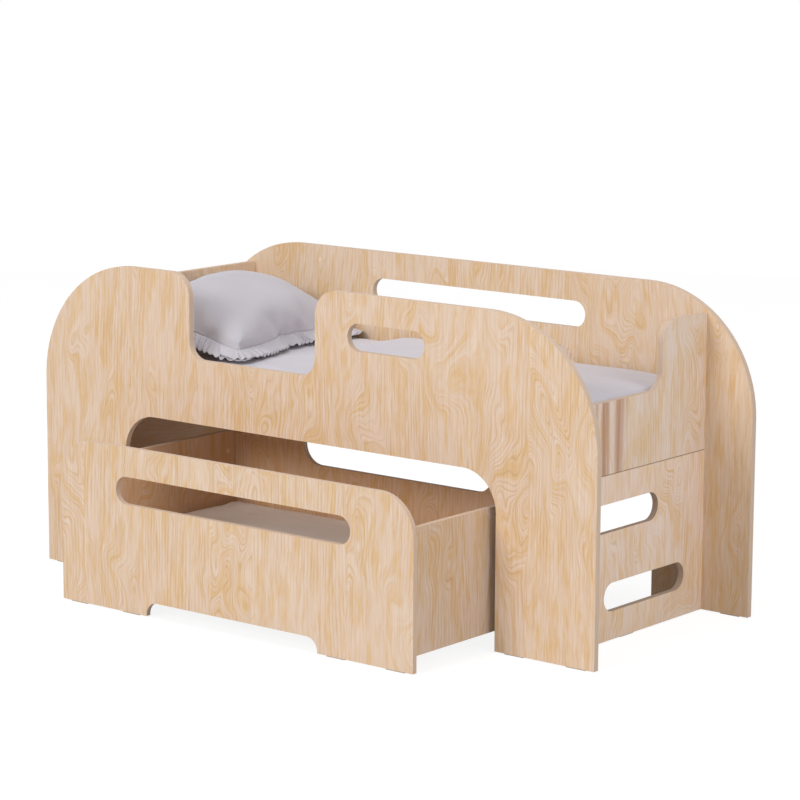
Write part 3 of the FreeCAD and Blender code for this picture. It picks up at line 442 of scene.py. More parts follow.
# Painted shade: the faces inside are made a darker, warmer brown, standing in for the shade and
# the warm bounced light under the bed; the sign is the side of the board that they are on
INNER_PAINTED_SHADE = (0.87, 0.76, 0.66)
SHADED_INNER_SIDES = {"trundle_left_side": 1.0, "trundle_back": -1.0, "head_lower_panel": 1.0}
BOARD_RESIN = {"foot_panel": 0.85}
# Painted shadow line where the upper foot board meets the ladder board
SEAM_PAINTED_SHADOW = paint(96, 62, 40)
SEAM_EDGE_TONE = (0.94, 0.94, 0.94)


def plywood(node, order, seed, look):
    """Veneer on a board's two faces, painted dark as a shadow line along a seam, and plies round
    its edges.
    """
    material, net, shader = new_material(node + " plywood")
    low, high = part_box(node)
    through = "xyz".index(order[2])
    seam = {"foot_panel": low.z, "ladder_panel": high.z}.get(node)
    # The board's tone carries painted light and shade as well as its own tint
    tone = BOARD_TONES_AND_PAINTED_LIGHT.get(node, (1.0, 1.0, 1.0))
    edge_tone = SEAM_EDGE_TONE if seam else (1.0, 1.0, 1.0)
    place = object_place(net, order, low[through])
    veneer = net.effect(veneer_group(), {
        "Place": place, "Seed": seed, "Leaf": look.leaf, "Ring": look.ring, "Swirl": look.swirl,
        "Resin": BOARD_RESIN.get(node, 0.0), "Pale": solid(look.pale, tone),
        "Gold": solid(look.gold, tone), "Line": solid(look.line, tone), "Red": solid(look.red)})
    plies = net.effect(ply_group(), {
        "Place": place, "Board": high[through] - low[through], "Plies": float(look.plies),
        "Along the grain": solid(look.edge_long, edge_tone),
        "Across the grain": solid(look.edge_end, edge_tone)})
    facing = net.split(net.place("Normal"))[through]
    edge = net.spread(net.calc("ABSOLUTE", facing), 0.5, 0.9, 1.0, 0.0)
    colour = net.mix(edge, veneer["Color"], plies["Color"])
    # Painted shade on the inner faces: they are darkened and warmed towards the inner shade colour
    if node in SHADED_INNER_SIDES:
        inner_shade_share = net.spread(net.times(facing, SHADED_INNER_SIDES[node]), 0.5, 0.9)
        colour = net.mix(inner_shade_share, colour, solid(INNER_PAINTED_SHADE), "MULTIPLY")
    # A painted shadow line darkens the veneer within about two millimetres of the seam where the
    # two boards meet
    if seam:
        away = net.calc("ABSOLUTE", net.calc("SUBTRACT", net.split(place)["Y"], seam))
        colour = net.mix(net.spread(away, 0.0008, 0.0018, 0.55, 0.0), colour, solid(SEAM_PAINTED_SHADOW))
    net.feed(shader, {
        "Base Color": colour, "Roughness": net.times_plus(edge, 0.2, veneer["Roughness"]),
        "Specular IOR Level": 0.35,
        "Normal": net.bump(net.mix(edge, veneer["Height"], plies["Height"]), look.relief, 0.6)})
    return material


def sawn_bar(name, order, seed, look):
    """Planed solid pine."""
    material, net, shader = new_material(name)
    grain = net.effect(bar_group(), {
        "Place": object_place(net, order, 0.0), "Seed": seed, "Pale": solid(look.pale),
        "Gold": solid(look.gold)})
    net.feed(shader, {
        "Base Color": grain["Color"], "Roughness": 0.6,
        "Normal": net.bump(grain["Height"], look.relief, 0.5)})
    return material


class BED_OT_boards(bpy.types.Operator):
    """Gives every board its own stretch of veneer and its ply edges"""

    bl_idname = "childs_bed.boards"
    bl_label = "Plywood boards"

    def execute(self, context):
        look = context.scene.childs_bed_wood
        for seed, (node, order) in enumerate(BOARD_ORDERS.items(), 1):
            dress(node, plywood(node, order, float(seed), look))
        return {"FINISHED"}


class BED_OT_base(bpy.types.Operator):
    """Finishes the rails and slats under both mattresses as planed pine"""

    bl_idname = "childs_bed.base"
    bl_label = "Rails and slats"

    def execute(self, context):
        look = context.scene.childs_bed_wood
        for seed, node in enumerate(sorted(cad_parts)):
            slat = "_slat_" in node and "screw" not in node
            if slat or node.endswith("_rail"):
                order = "xyz" if slat or node in ("head_rail", "foot_rail") else "yxz"
                dress(node, sawn_bar(node + " pine", order, float(seed), look))
        return {"FINISHED"}


# Screws and cam locks


def islands(node):
    """The separate solids of a CAD node, each as the list of its corners."""
    made = bmesh.new()
    made.from_mesh(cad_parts[node].data)
    bmesh.ops.remove_doubles(made, verts=made.verts, dist=0.00001)
    groups = []
    met = set()
    for first in made.verts:
        if first in met:
            continue
        met.add(first)
        group = [first]
        for vert in group:
            for edge in vert.link_edges:
                other = edge.other_vert(vert)
                if other not in met:
                    met.add(other)
                    group.append(other)
        groups.append([vert.co.copy() for vert in group])
    made.free()
    return groups


def middle_and_size(corners):
    low = Vector(map(min, *corners))
    high = Vector(map(max, *corners))
    return (low + high) / 2, high - low


def marks(name, places, edges=()):
    """Points with directions; places holds each spot and its named directions."""
    mesh = bpy.data.meshes.new(name)
    mesh.from_pydata([spot for spot, _ in places], edges, [])
    for word in places[0][1]:
        layer = mesh.attributes.new(word, "FLOAT_VECTOR", "POINT")
        for i, (_, ways) in enumerate(places):
            layer.data[i].vector = ways[word]
    return mesh


def screw_places(node):
    """Where a node's screws are and which way their heads look, with their length."""
    places = []
    for corners in islands(node):
        middle, size = middle_and_size(corners)
        axis = max(range(3), key=lambda index: size[index])
        flat = Vector([index != axis for index in range(3)])
        widths = [((corner - middle) * flat).length for corner in corners]
        head = [corner[axis] for corner, width in zip(corners, widths)
                if width > max(widths) * 0.95]
        aim = Vector((0, 0, 0))
        aim[axis] = math.copysign(1, sum(head) / len(head) - middle[axis])
        places.append((middle, {"aim": aim}))
    return places, max(size)


def outside(spot, box):
    """How far a spot lies outside a box, added up over the axes."""
    return sum(max(low - value, value - high, 0) for value, low, high in zip(spot, *box))


def cam_places(node, bolts, boards):
    """Where a node's cam drums are, which face shows and where their bolt comes in."""
    bolt_middles = [middle_and_size(corners)[0] for corners in islands(bolts)]
    places = []
    for corners in islands(node):
        middle, size = middle_and_size(corners)
        axis = min(range(3), key=lambda index: size[index])
        low, high = min((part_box(board) for board in boards),
                        key=lambda box: abs((box[0] + box[1])[axis] / 2 - middle[axis])
                        + outside(middle, box))
        aim = Vector((0, 0, 0))
        aim[axis] = math.copysign(1, middle[axis] - (low + high)[axis] / 2)
        mouth = min(bolt_middles, key=lambda spot: (spot - middle).length) - middle
        places.append((middle, {"aim": aim, "mouth": mouth}))
    return places


def named(net, word):
    """A direction that the points carry under a name."""
    return net.add("GeometryNodeInputNamedAttribute", {"Name": word},
                   data_type="FLOAT_VECTOR").outputs["Attribute"]


def aimed(net, word, axis, start=(0.0, 0.0, 0.0), pivot="AUTO"):
    """The rotation that turns one axis of an instance along a named direction."""
    return net.out("FunctionNodeAlignRotationToVector", {
        "Rotation": start, "Vector": named(net, word)}, axis=axis, pivot_axis=pivot)


def moved(net, geometry, up=0.0, across=0.0, turn=(0.0, 0.0, 0.0)):
    """A mesh shifted along its axis or across it, after a turn."""
    return net.out("GeometryNodeTransform", {
        "Geometry": geometry, "Translation": net.combine(across, 0.0, up), "Rotation": turn})


def joined(net, *parts):
    return net.out("GeometryNodeJoinGeometry", {"Geometry": list(parts)})


def cut_away(net, mesh, *cutters):
    return net.out("GeometryNodeMeshBoolean", {"Mesh 1": mesh, "Mesh 2": list(cutters)},
                   operation="DIFFERENCE", solver="EXACT")


def made_real(net, geometry, material):
    """The end of a tree: its instances made real, with their material."""
    real = net.out("GeometryNodeRealizeInstances", {"Geometry": geometry})
    return net.out("GeometryNodeSetMaterial", {"Geometry": real, "Material": material})


def stamped(net, points, shape, rotation, material):
    """A shape at every point."""
    return made_real(net, net.out("GeometryNodeInstanceOnPoints", {
        "Points": points, "Instance": shape, "Rotation": rotation}), material)


def screw_group():
    """A countersunk wood screw with a cross recess at every point."""
    net, given, put = new_group("wood screws", "Geometry", {
        "Points": "Geometry", "Length": 0.04, "Head": 0.0039, "Head depth": 0.0025,
        "Shank": 0.0019, "Tip": 0.005, "Slot": 0.0009, "Metal": "Material"},
        {"Screws": "Geometry"})
    top = net.times(given["Length"], 0.5)
    under = net.calc("SUBTRACT", top, given["Head depth"])
    head = net.out("GeometryNodeMeshCone", {
        "Vertices": 20, "Radius Top": given["Head"], "Radius Bottom": given["Shank"],
        "Depth": given["Head depth"]})
    recess = net.combine(net.times(given["Head"], 1.2), given["Slot"],
                         net.times(given["Head depth"], 1.2))
    cross = [moved(net, net.out("GeometryNodeMeshCube", {"Size": recess}), given["Head depth"],
                   turn=(0.0, 0.0, angle)) for angle in (0.0, math.pi / 2)]
    head = moved(net, cut_away(net, head, *cross), under)
    body = net.calc("SUBTRACT", net.plus(top, under), given["Tip"])
    shank = moved(net, net.out("GeometryNodeMeshCylinder", {
        "Vertices": 12, "Radius": given["Shank"], "Depth": body}),
        net.calc("SUBTRACT", under, net.times(body, 0.5)))
    point = moved(net, net.out("GeometryNodeMeshCone", {
        "Vertices": 12, "Radius Top": 0.0, "Radius Bottom": given["Shank"],
        "Depth": given["Tip"]}),
        net.calc("SUBTRACT", given["Tip"], top), turn=(math.pi, 0.0, 0.0))
    net.feed(put, {"Screws": stamped(net, given["Points"], joined(net, head, shank, point),
                                     aimed(net, "aim", "Z"), given["Metal"])})
    return net.tree


def cam_group():
    """A cam drum with its bolt's mouth at every point, under a cover cap."""
    net, given, put = new_group("cam locks", "Geometry", {
        "Points": "Geometry", "Radius": 0.0074, "Depth": 0.0128, "Mouth": 0.0072,
        "Cap": 0.0007, "Metal": "Material", "Cover": "Material"}, {"Locks": "Geometry"})
    drum = net.out("GeometryNodeMeshCylinder", {
        "Vertices": 32, "Radius": given["Radius"], "Depth": given["Depth"]})
    reach = net.times(given["Radius"], 2.4)
    mouth = net.out("GeometryNodeMeshCube", {
        "Size": net.combine(reach, given["Mouth"], given["Mouth"])})
    drum = cut_away(net, drum, moved(net, mouth, across=net.times(reach, 0.45)))
    cap = moved(net, net.out("GeometryNodeMeshCone", {
        "Vertices": 32, "Radius Top": net.times(given["Radius"], 0.8),
        "Radius Bottom": given["Radius"], "Depth": given["Cap"]}),
        net.times(given["Depth"], 0.51))
    rotation = aimed(net, "mouth", "X", aimed(net, "aim", "Z"), "Z")
    net.feed(put, {"Locks": joined(
        net, stamped(net, given["Points"], drum, rotation, given["Metal"]),
        stamped(net, given["Points"], cap, rotation, given["Cover"]))})
    return net.tree


def linked(name, data):
    """A new object in the scene."""
    item = bpy.data.objects.new(name, data)
    bpy.context.scene.collection.objects.link(item)
    return item


def settled_mesh(item):
    """The mesh of an object after its modifiers, with the object removed."""
    graph = bpy.context.evaluated_depsgraph_get()
    mesh = bpy.data.meshes.new_from_object(item.evaluated_get(graph))
    bpy.data.objects.remove(item)
    return mesh


def grown(name, mesh, tree, values):
    """The plain mesh that a tree of Geometry Nodes makes from a starting mesh."""
    item = linked(name, mesh)
    modifier = item.modifiers.new(name, "NODES")
    modifier.node_group = tree
    names = {socket.name: socket.identifier for socket in tree.interface.items_tree
             if socket.in_out == "INPUT"}
    for label, value in values.items():
        modifier[names[label]] = value
    return settled_mesh(item)


def new_piece(name, mesh, body, slot, *nodes):
    """Links a finished mesh, hangs it on its body's empty and hides the CAD nodes that it stands
    for; the slot is not used.
    """
    piece = linked(name, mesh)
    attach(piece, body)
    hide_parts(*nodes)
    return piece


class BED_OT_fittings(bpy.types.Operator):
    """Makes screws and cam locks, and finishes bolts, dowels, plugs, straps and glides"""

    bl_idname = "childs_bed.fittings"
    bl_label = "Fittings"

    def execute(self, context):
        metal = zinc()
        turned = sawn_bar("turned birch", "xzy", 3.0, context.scene.childs_bed_wood)
        finishes = {"bolts": metal, "glides": felt(), "dowels": turned, "plugs": turned,
                    "straps": cotton("webbing", paint(217, 214, 204), 0.0016)}
        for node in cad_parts:
            kind = node.split("_")[-1]
            if kind in finishes:
                dress(node, finishes[kind])
        screws = screw_group()
        for node in ("bed_slat_screws", "rail_screws", "trundle_slat_screws",
                     "trundle_rail_screws"):
            places, length = screw_places(node)
            mesh = grown(node, marks(node, places), screws, {"Length": length, "Metal": metal})
            body = "trundle" if "trundle" in node else "bed"
            new_piece(node + "_detailed", mesh, body, "zinc_fittings", node)
        locks = cam_group()
        for body in ("bed", "trundle"):
            boards = [board for board in BOARD_ORDERS
                      if ("trundle" in board) == (body == "trundle")]
            node = body + "_cam_locks"
            places = cam_places(node, body + "_cam_bolts", boards)
            mesh = grown(node, marks(node, places), locks, {"Metal": metal, "Cover": turned})
            new_piece(node + "_detailed", mesh, body, "zinc_fittings", node)
        return {"FINISHED"}


# Mattresses

MATTRESS_ROUND = 0.03
MATTRESS_CROWN = 0.006
MATTRESS_CELL = 0.012
CORNER_PULL = 0.0035
HOLLOW = 0.004
RIPPLE = 0.0016
SHEET_TENSION = 0.003
# The bed's mattress swells past the pillow, by twice as much beside it, and rolls off at the foot
PILLOW_ENDS = (-0.29, -0.17)
HUMP_ENDS = 0.35
FOOT_ROLL = 0.028


def in_cloth(mesh, material):
    """A mesh in one fabric, shaded smooth."""
    mesh.materials.clear()
    mesh.materials.append(material)
    mesh.shade_smooth()
    return mesh


def clamped(value, low, high):
    return min(max(value, low), high)


def smooth_step(value, low, high):
    share = clamped((value - low) / (high - low), 0, 1)
    return share * share * (3 - 2 * share)


def quads(rows):
    """The corners of each cell of a grid of points."""
    for row, following in zip(rows, rows[1:]):
        yield from zip(row, following, following[1:], row[1:])


def as_mesh(name, made):
    """A finished mesh, with its working copy freed."""
    mesh = bpy.data.meshes.new(name)
    made.to_mesh(mesh)
    made.free()
    return mesh


def rounded_block(low, high, radius, cell):
    """A box with rounded edges, as a closed grid of cells."""
    size = high - low
    made = bmesh.new()
    margin = Vector((radius,) * 3)
    for first, second, through in ((0, 1, 2), (1, 2, 0), (2, 0, 1)):
        wide, long = [max(2, round(size[axis] / cell)) for axis in (first, second)]
        for end in (low[through], high[through]):
            rows = []
            for i in range(wide + 1):
                rows.append([])
                for j in range(long + 1):
                    spot = Vector((0, 0, 0))
                    spot[first] = low[first] + size[first] * i / wide
                    spot[second] = low[second] + size[second] * j / long
                    spot[through] = end
                    core = Vector(map(clamped, spot, low + margin, high - margin))
                    rows[-1].append(made.verts.new(core + (spot - core).normalized() * radius))
            for corners in quads(rows):
                made.faces.new(corners)
    bmesh.ops.remove_doubles(made, verts=made.verts, dist=cell / 100)
    bmesh.ops.recalc_face_normals(made, faces=made.faces)
    return made


def sheeted_mattress(node, seed, swell):
    """A foam block in a fitted sheet: a low crown, soft hollows and pulls at its corners."""
    low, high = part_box(node)
    middle, half = (low + high) / 2, (high - low) / 2
    made = rounded_block(low, high, MATTRESS_ROUND, MATTRESS_CELL)
    made.normal_update()
    for vert in made.verts:
        away = vert.co - middle
        dome = (1 - (away.x / half.x) ** 2) * (1 - (away.y / half.y) ** 2)
        corner = Vector((half.x - abs(away.x), half.y - abs(away.y)))
        near = math.exp(-corner.length / 0.13)
        angle = math.atan2(corner.y, corner.x)
        pull = near * CORNER_PULL * math.sin(angle * 11 + seed + 9 * noise.noise(vert.co * 4))
        hollow = HOLLOW * noise.noise(vert.co * 5 + Vector((seed, 0, 0)))
        ripple = RIPPLE * noise.noise(Vector((vert.co.x * 9, vert.co.y * 30, seed)))
        lift = pull + hollow + ripple
        if vert.normal.z > 0:
            lift += MATTRESS_CROWN * (dome - 1) * vert.normal.z
            free = smooth_step(vert.co.x, *PILLOW_ENDS)
            hump = smooth_step(vert.co.x, HUMP_ENDS, PILLOW_ENDS[1])
            lift += swell * free * (1 + hump) * vert.normal.z
            lift -= swell * math.exp((away.x - half.x) / FOOT_ROLL)
        vert.co += vert.normal * (lift - SHEET_TENSION)
        vert.co.z = max(vert.co.z, low.z)
    return as_mesh(node.replace("_", " "), made)


class BED_OT_mattresses(bpy.types.Operator):
    """Makes both mattresses in their fitted sheets"""

    bl_idname = "childs_bed.mattresses"
    bl_label = "Mattresses"

    def execute(self, context):
        look = context.scene.childs_bed_cloth
        for body, slot, fabric, colour, seed, swell in (
                ("bed", "sheet_fabric", "lilac-grey cotton", look.sheet, 1.0, 0.011),
                ("trundle", "trundle_fabric", "pinkish-grey cotton", look.trundle, 5.0, 0.0)):
            node = body + "_mattress"
            mesh = in_cloth(sheeted_mattress(node, seed, swell),
                            cotton(fabric, colour, look.thread))
            new_piece(node + "_in_sheet", mesh, body, slot, node)
        return {"FINISHED"}


# Pillow, with its tilt against the head board and its turn to the foot as the frame has them

PILLOW_TILT = Matrix.Rotation(math.radians(20), 3, "Y")
PILLOW_TURN = Matrix.Rotation(math.radians(11), 3, "Z") @ PILLOW_TILT
MATTRESS_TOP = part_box("bed_mattress")[1].z
PILLOW_CUT = Vector((0.420, 0.615))
PILLOW_SEWN = Vector((0.365, 0.570))
PILLOW_ROUND = 0.045
PILLOW_CELL = 0.007
PILLOW_TOP = 0.104
PILLOW_UNDER = 0.036
FOOT_UP = 0.022
FOOT_OUT = 0.012
FRONT_DOWN = 0.009
FRONT_BACK = 0.018
HEAD_CORNER_DOWN = 0.035
REAR_CORNER_OUT = 0.03
PUCKER_HEIGHT = 0.0045
PUCKER_REACH = 0.16
PILLOW_CLOTH = {
    "quality": 7, "mass": 0.25, "tension_stiffness": 18, "compression_stiffness": 18,
    "shear_stiffness": 6, "bending_stiffness": 0.35, "use_pressure": True,
    "uniform_pressure_force": 3.2,
}
PILLOW_FRAMES = 24
FRILL_WIDTH = 0.045
FRILL_CLEARANCE = 0.0025
HEM_THICKNESS = 0.0008


def pillow_blank():
    """Two rectangles of cloth, rounded at the corners and sewn round their edge."""
    wide, long = [round(side / PILLOW_CELL) for side in PILLOW_CUT]
    half = PILLOW_CUT / 2
    made = bmesh.new()
    layer = made.loops.layers.uv.new("UVMap")
    rim = {}
    for side in (1, -1):
        rows = []
        for i in range(wide + 1):
            rows.append([])
            for j in range(long + 1):
                edge = i in (0, wide) or j in (0, long)
                if edge and side < 0:
                    rows[-1].append(rim[i, j])
                    continue
                spot = Vector(((2 * i / wide - 1) * half.x, (2 * j / long - 1) * half.y))
                core = Vector([clamped(value, PILLOW_ROUND - limit, limit - PILLOW_ROUND)
                               for value, limit in zip(spot, half)])
                out = spot - core
                if out.x and out.y:
                    out *= max(abs(out.x), abs(out.y)) / out.length
                spot = core + out
                dome = (1 - (spot.x / half.x) ** 2) * (1 - (spot.y / half.y) ** 2)
                rows[-1].append(made.verts.new((spot.x, spot.y, 0.02 * side * max(dome, 0))))
                if edge:
                    rim[i, j] = rows[-1][-1]
        for corners in quads(rows):
            face = made.faces.new(corners[::side])
            for loop in face.loops:
                loop[layer].uv = loop.vert.co.xy
    walk = [(i, 0) for i in range(wide)]
    walk += [(wide, j) for j in range(long)]
    walk += [(i, long) for i in range(wide, 0, -1)]
    walk += [(0, j) for j in range(long, 0, -1)]
    made.verts.index_update()
    seam = [rim[spot].index for spot in walk]
    return as_mesh("pillow", made), seam


def blown_up(mesh, seam):
    """Fills a sewn blank with air pressure and returns where its points come to lie."""
    item = linked("pillow blank", mesh)
    cloth = item.modifiers.new("Cloth", "CLOTH")
    for name, value in PILLOW_CLOTH.items():
        setattr(cloth.settings, name, value)
    cloth.settings.effector_weights.gravity = 0
    cloth.point_cache.frame_start = 1
    cloth.point_cache.frame_end = PILLOW_FRAMES
    scene = bpy.context.scene
    for number in range(1, PILLOW_FRAMES + 1):
        scene.frame_set(number)
    made = settled_mesh(item)
    scene.frame_set(1)
    soft = bmesh.new()
    soft.from_mesh(made)
    sewn = set(seam)
    inner = [vert for vert in soft.verts if vert.index not in sewn]
    for _ in range(6):
        bmesh.ops.smooth_vert(soft, verts=inner, factor=0.5, use_axis_x=True, use_axis_y=True,
                              use_axis_z=True)
    soft.to_mesh(made)
    soft.free()
    return made


def lie_down(mesh):
    """Sets the filled pillow on the mattress and against the head board."""
    low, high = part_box("pillow_frill")
    centre = (low + high) / 2
    reach = Vector([max(abs(vert.co[axis]) for vert in mesh.vertices) for axis in range(3)])
    half = PILLOW_SEWN / 2
    for vert in mesh.vertices:
        spot = vert.co.copy()
        spot.x *= half.x / reach.x
        spot.y *= half.y / reach.y
        spot.z *= (PILLOW_TOP if spot.z > 0 else PILLOW_UNDER) / reach.z
        foot, side = spot.x / half.x, spot.y / half.y
        to_foot, to_head, to_front = max(foot, 0), max(-foot, 0), max(-side, 0)
        # The corners are flatter, the foot edge stands up and the head corners sink
        if spot.z > 0:
            spot.z *= 1 - 0.5 * (foot * side) ** 2
        spot.z += (FOOT_UP - FRONT_DOWN * to_front ** 2) * to_foot ** 2
        spot.z -= HEAD_CORNER_DOWN * to_head ** 2 * side ** 2
        # Small puckers run in from the seam
        inward = 1 - max(abs(foot), abs(side))
        beside = spot.y if abs(foot) > abs(side) else spot.x
        pucker = noise.noise(Vector((beside * 58, inward * 7, 3.0)))
        pucker *= math.exp(-inward / PUCKER_REACH)
        spot.z += PUCKER_HEIGHT * pucker * (1 - (foot * side) ** 2)
        # The foot edge reaches out, most at its rear corner, and the sides bow out a little
        spot.x += (FOOT_OUT - FRONT_BACK * to_front ** 2) * to_foot ** 2
        spot.x += REAR_CORNER_OUT * (to_foot * max(side, 0)) ** 3
        spot.x *= 1 + 0.05 * (1 - side ** 2) * to_foot
        spot.y *= 1 + 0.03 * (1 - foot ** 2) * abs(side)
        vert.co = centre + PILLOW_TURN @ spot
        vert.co.z = max(vert.co.z, MATTRESS_TOP + 0.002)


def seam_line(mesh, seam):
    """The pillow's seam as a closed wire whose points know their way out and up."""
    upward = PILLOW_TURN @ Vector((0, 0, 1))
    count = len(seam)
    spots = [mesh.vertices[index].co.copy() for index in seam]
    places = []
    for i, spot in enumerate(spots):
        along = spots[(i + 4) % count] - spots[i - 4]
        out = along.cross(upward).normalized()
        # The frill hangs towards the mattress, but stands off stiffly along the head board
        drop = clamped((spot.z - MATTRESS_TOP - 0.008) / FRILL_WIDTH, 0, 0.65)
        hanging = Vector((out.x, out.y, 0)).normalized() * math.sqrt(1 - drop ** 2)
        hanging.z = -drop
        share = clamped((out.x + 0.9) / 0.6, 0, 1)
        places.append((spot, {"outward": out.lerp(hanging, share).normalized(),
                              "upward": upward}))
    return marks("seam", places, [(i, (i + 1) % count) for i in range(count)])


def frill_group():
    """A gathered strip along a closed seam, in pleats that grow towards its free edge."""
    net, given, put = new_group("gathered frill", "Geometry", {
        "Seam": "Geometry", "Width": 0.045, "Pleats": 116, "Depth": 0.0048, "Seed": 4.0,
        "Cloth": "Material"}, {"Frill": "Geometry"})
    grid = net.add("GeometryNodeMeshGrid", {
        "Size X": 1.0, "Size Y": 1.0, "Vertices X": net.times_plus(given["Pleats"], 12.0, 1.0),
        "Vertices Y": 10}).outputs
    spot = net.split(net.out("GeometryNodeInputPosition"))
    factor = net.plus(spot["X"], 0.5)
    reach = net.plus(spot["Y"], 0.5)
    curve = net.out("GeometryNodeMeshToCurve", {"Mesh": given["Seam"]})
    outward, upward = [net.add("GeometryNodeSampleCurve", {
        "Curves": curve, "Value": named(net, word), "Factor": factor},
        data_type="FLOAT_VECTOR", mode="FACTOR", use_all_curves=True).outputs
        for word in ("outward", "upward")]
    place = outward["Position"]
    # No two pleats are alike in size or distance
    seeded = net.vector("ADD", place, net.combine(given["Seed"]))
    drift = net.clouds(seeded, (14.0, 14.0, 14.0), 1.0)
    size = net.spread(net.clouds(seeded, (23.0, 23.0, 23.0), 0.0), 0.3, 0.7, 0.45, 1.5)
    phase = net.times_plus(net.times(factor, given["Pleats"]), 2 * math.pi, net.times(drift, 9.0))
    swing = net.times(net.calc("POWER", reach, 0.8), net.times(given["Depth"], size))
    ways = ((outward["Value"], net.times(reach, given["Width"])),
            (upward["Value"], net.times(net.calc("SINE", phase), swing)),
            (outward["Tangent"], net.times(net.calc("COSINE", phase), net.times(swing, 0.45))))
    for way, amount in ways:
        place = net.vector("ADD", place, net.out(
            "ShaderNodeVectorMath", {0: way, "Scale": amount}, operation="SCALE"))
    # The weave's map is as long as the strip before it is gathered
    length = net.out("GeometryNodeCurveLength", {"Curve": curve})
    cloth_map = net.vector("MULTIPLY", grid["UV Map"], net.combine(
        net.times(length, 1.5), given["Width"], 1.0))
    strip = net.out("GeometryNodeStoreNamedAttribute", {
        "Geometry": grid["Mesh"], "Name": "UVMap", "Value": cloth_map},
        data_type="FLOAT2", domain="CORNER")
    strip = net.out("GeometryNodeSetPosition", {"Geometry": strip, "Position": place})
    strip = net.out("GeometryNodeMergeByDistance", {"Geometry": strip, "Distance": 0.0001})
    net.feed(put, {"Frill": made_real(net, strip, given["Cloth"])})
    return net.tree


class BED_OT_pillow(bpy.types.Operator):
    """Sews, fills and lays the pillow with its gathered frill"""

    bl_idname = "childs_bed.pillow"
    bl_label = "Pillow and frill"

    def execute(self, context):
        look = context.scene.childs_bed_cloth
        blank, seam = pillow_blank()
        blank = blown_up(blank, seam)
        lie_down(blank)
        fabric = cotton("pillow cotton", [channel * 0.92 for channel in look.sheet],
                        look.thread, "UV")
        pillow = new_piece("pillow_filled", in_cloth(blank, fabric), "bed", "sheet_fabric",
                           "pillow")
        strip = grown("frill", seam_line(blank, seam), frill_group(), {
            "Width": FRILL_WIDTH, "Pleats": look.pleats, "Depth": look.pleat_depth,
            "Cloth": fabric})
        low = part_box("pillow_frill")[0]
        for vert in strip.vertices:
            vert.co.z = max(vert.co.z, MATTRESS_TOP + FRILL_CLEARANCE)
            vert.co.x = max(vert.co.x, low.x + HEM_THICKNESS)
        item = linked("frill", strip)
        wall = item.modifiers.new("hem", "SOLIDIFY")
        wall.thickness = HEM_THICKNESS
        wall.offset = 0.0
        frill = new_piece("pillow_ruffle", in_cloth(settled_mesh(item), fabric), "bed",
                          "sheet_fabric", "pillow_frill")
        return {"FINISHED"}


# Stage


def lamp(name, place, size, power):
    """A large soft lamp that points at the bed's middle."""
    light = bpy.data.lights.new(name, "AREA")
    light.shape = "DISK"
    light.size = size
    light.energy = power
    item = linked(name, light)
    item.location = place
    ray = Vector((0, 0, 0.4)) - Vector(place)
    item.rotation_euler = ray.to_track_quat("-Z", "Y").to_euler()


def white_floor(look):
    """A white floor that keeps the object's shadow and lets the camera see white."""
    material, net, shader = new_material("white floor")
    mottle = net.clouds(net.place(), (3.0, 3.0, 3.0), 2.0)
    net.feed(shader, {
        "Base Color": net.mix(mottle, solid((0.62,) * 3), solid((0.58,) * 3)),
        "Roughness": 0.9, "Specular IOR Level": 0.0})
    glow = net.out("ShaderNodeEmission", {"Color": (1, 1, 1, 1), "Strength": 1.26})
    share = net.times(net.seen_directly(), look.floor_glow)
    mixed = net.out("ShaderNodeMixShader", {0: share, 1: shader.outputs["BSDF"], 2: glow})
    net.feed(material.node_tree.nodes["Material Output"], {"Surface": mixed})
    return material


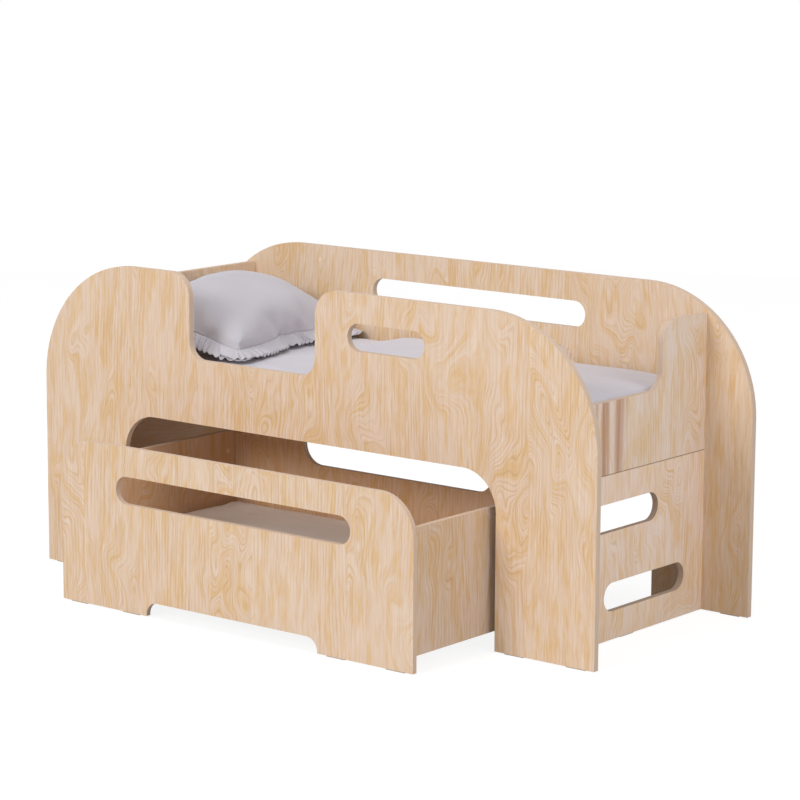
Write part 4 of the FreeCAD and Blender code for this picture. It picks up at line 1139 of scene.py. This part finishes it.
class BED_OT_studio(bpy.types.Operator):
    """Sets up the camera, the lamps, the white sky and the floor"""

    bl_idname = "childs_bed.studio"
    bl_label = "Studio"

    def execute(self, context):
        look = context.scene.childs_bed_studio
        scene = context.scene
        camera = bpy.data.cameras.new("camera")
        camera.sensor_width = 36
        camera.lens = look.lens
        camera.clip_end = 100
        scene.camera = linked("camera", camera)
        yaw, pitch, roll = look.camera_turn
        turn = (Matrix.Rotation(yaw, 4, "Z") @ Matrix.Rotation(math.pi / 2 - pitch, 4, "X")
                @ Matrix.Rotation(roll, 4, "Z"))
        scene.camera.matrix_world = Matrix.Translation(look.camera_place) @ turn
        made = bmesh.new()
        bmesh.ops.create_circle(made, cap_ends=True, radius=7, segments=96)
        floor = linked("floor", as_mesh("floor", made))
        floor.data.materials.append(white_floor(look))
        lamp("key", (-2.0, -13.5, 7.2), 5.4, look.key)
        lamp("overhead", (0, -0.4, 4.6), 4.0, look.top)
        lamp("fill", (5.2, -0.8, 2.6), 2.8, look.fill)
        world = bpy.data.worlds.new("white sky")
        world.use_nodes = True
        scene.world = world
        net = Net(world.node_tree)
        strength = net.spread(net.seen_directly(), 0.0, 1.0, look.sky, 1.0, "LINEAR")
        net.feed(world.node_tree.nodes["Background"], {
            "Color": (1, 1, 1, 1), "Strength": strength})
        scene.view_settings.view_transform = "Standard"
        return {"FINISHED"}


class BED_PT_panel(bpy.types.Panel):
    """Lists the steps that make the bed"""

    bl_idname = "BED_PT_panel"
    bl_label = "Child's bed"
    bl_space_type = "VIEW_3D"
    bl_region_type = "UI"
    bl_category = "Child's bed"

    def draw(self, context):
        for look, kind in LOOKS.items():
            box = self.layout.box()
            for name in kind.__annotations__:
                box.prop(getattr(context.scene, look), name)
        for step in STEPS:
            self.layout.operator(step.bl_idname)


STEPS = (BED_OT_studio, BED_OT_boards, BED_OT_base, BED_OT_fittings, BED_OT_mattresses,
         BED_OT_pillow)
LOOKS = {"childs_bed_wood": WoodLook, "childs_bed_cloth": ClothLook,
         "childs_bed_studio": StudioLook}


def register():
    for item in (*LOOKS.values(), *STEPS, BED_PT_panel):
        bpy.utils.register_class(item)
    for name, look in LOOKS.items():
        setattr(bpy.types.Scene, name, bpy.props.PointerProperty(type=look))


def unregister():
    for name in LOOKS:
        delattr(bpy.types.Scene, name)
    for item in (BED_PT_panel, *reversed(STEPS), *LOOKS.values()):
        bpy.utils.unregister_class(item)


def main():
    register()
    bpy.ops.childs_bed.studio()
    bpy.ops.childs_bed.boards()
    bpy.ops.childs_bed.base()
    bpy.ops.childs_bed.fittings()
    bpy.ops.childs_bed.mattresses()
    bpy.ops.childs_bed.pillow()


if __name__ == "__main__":
    main()
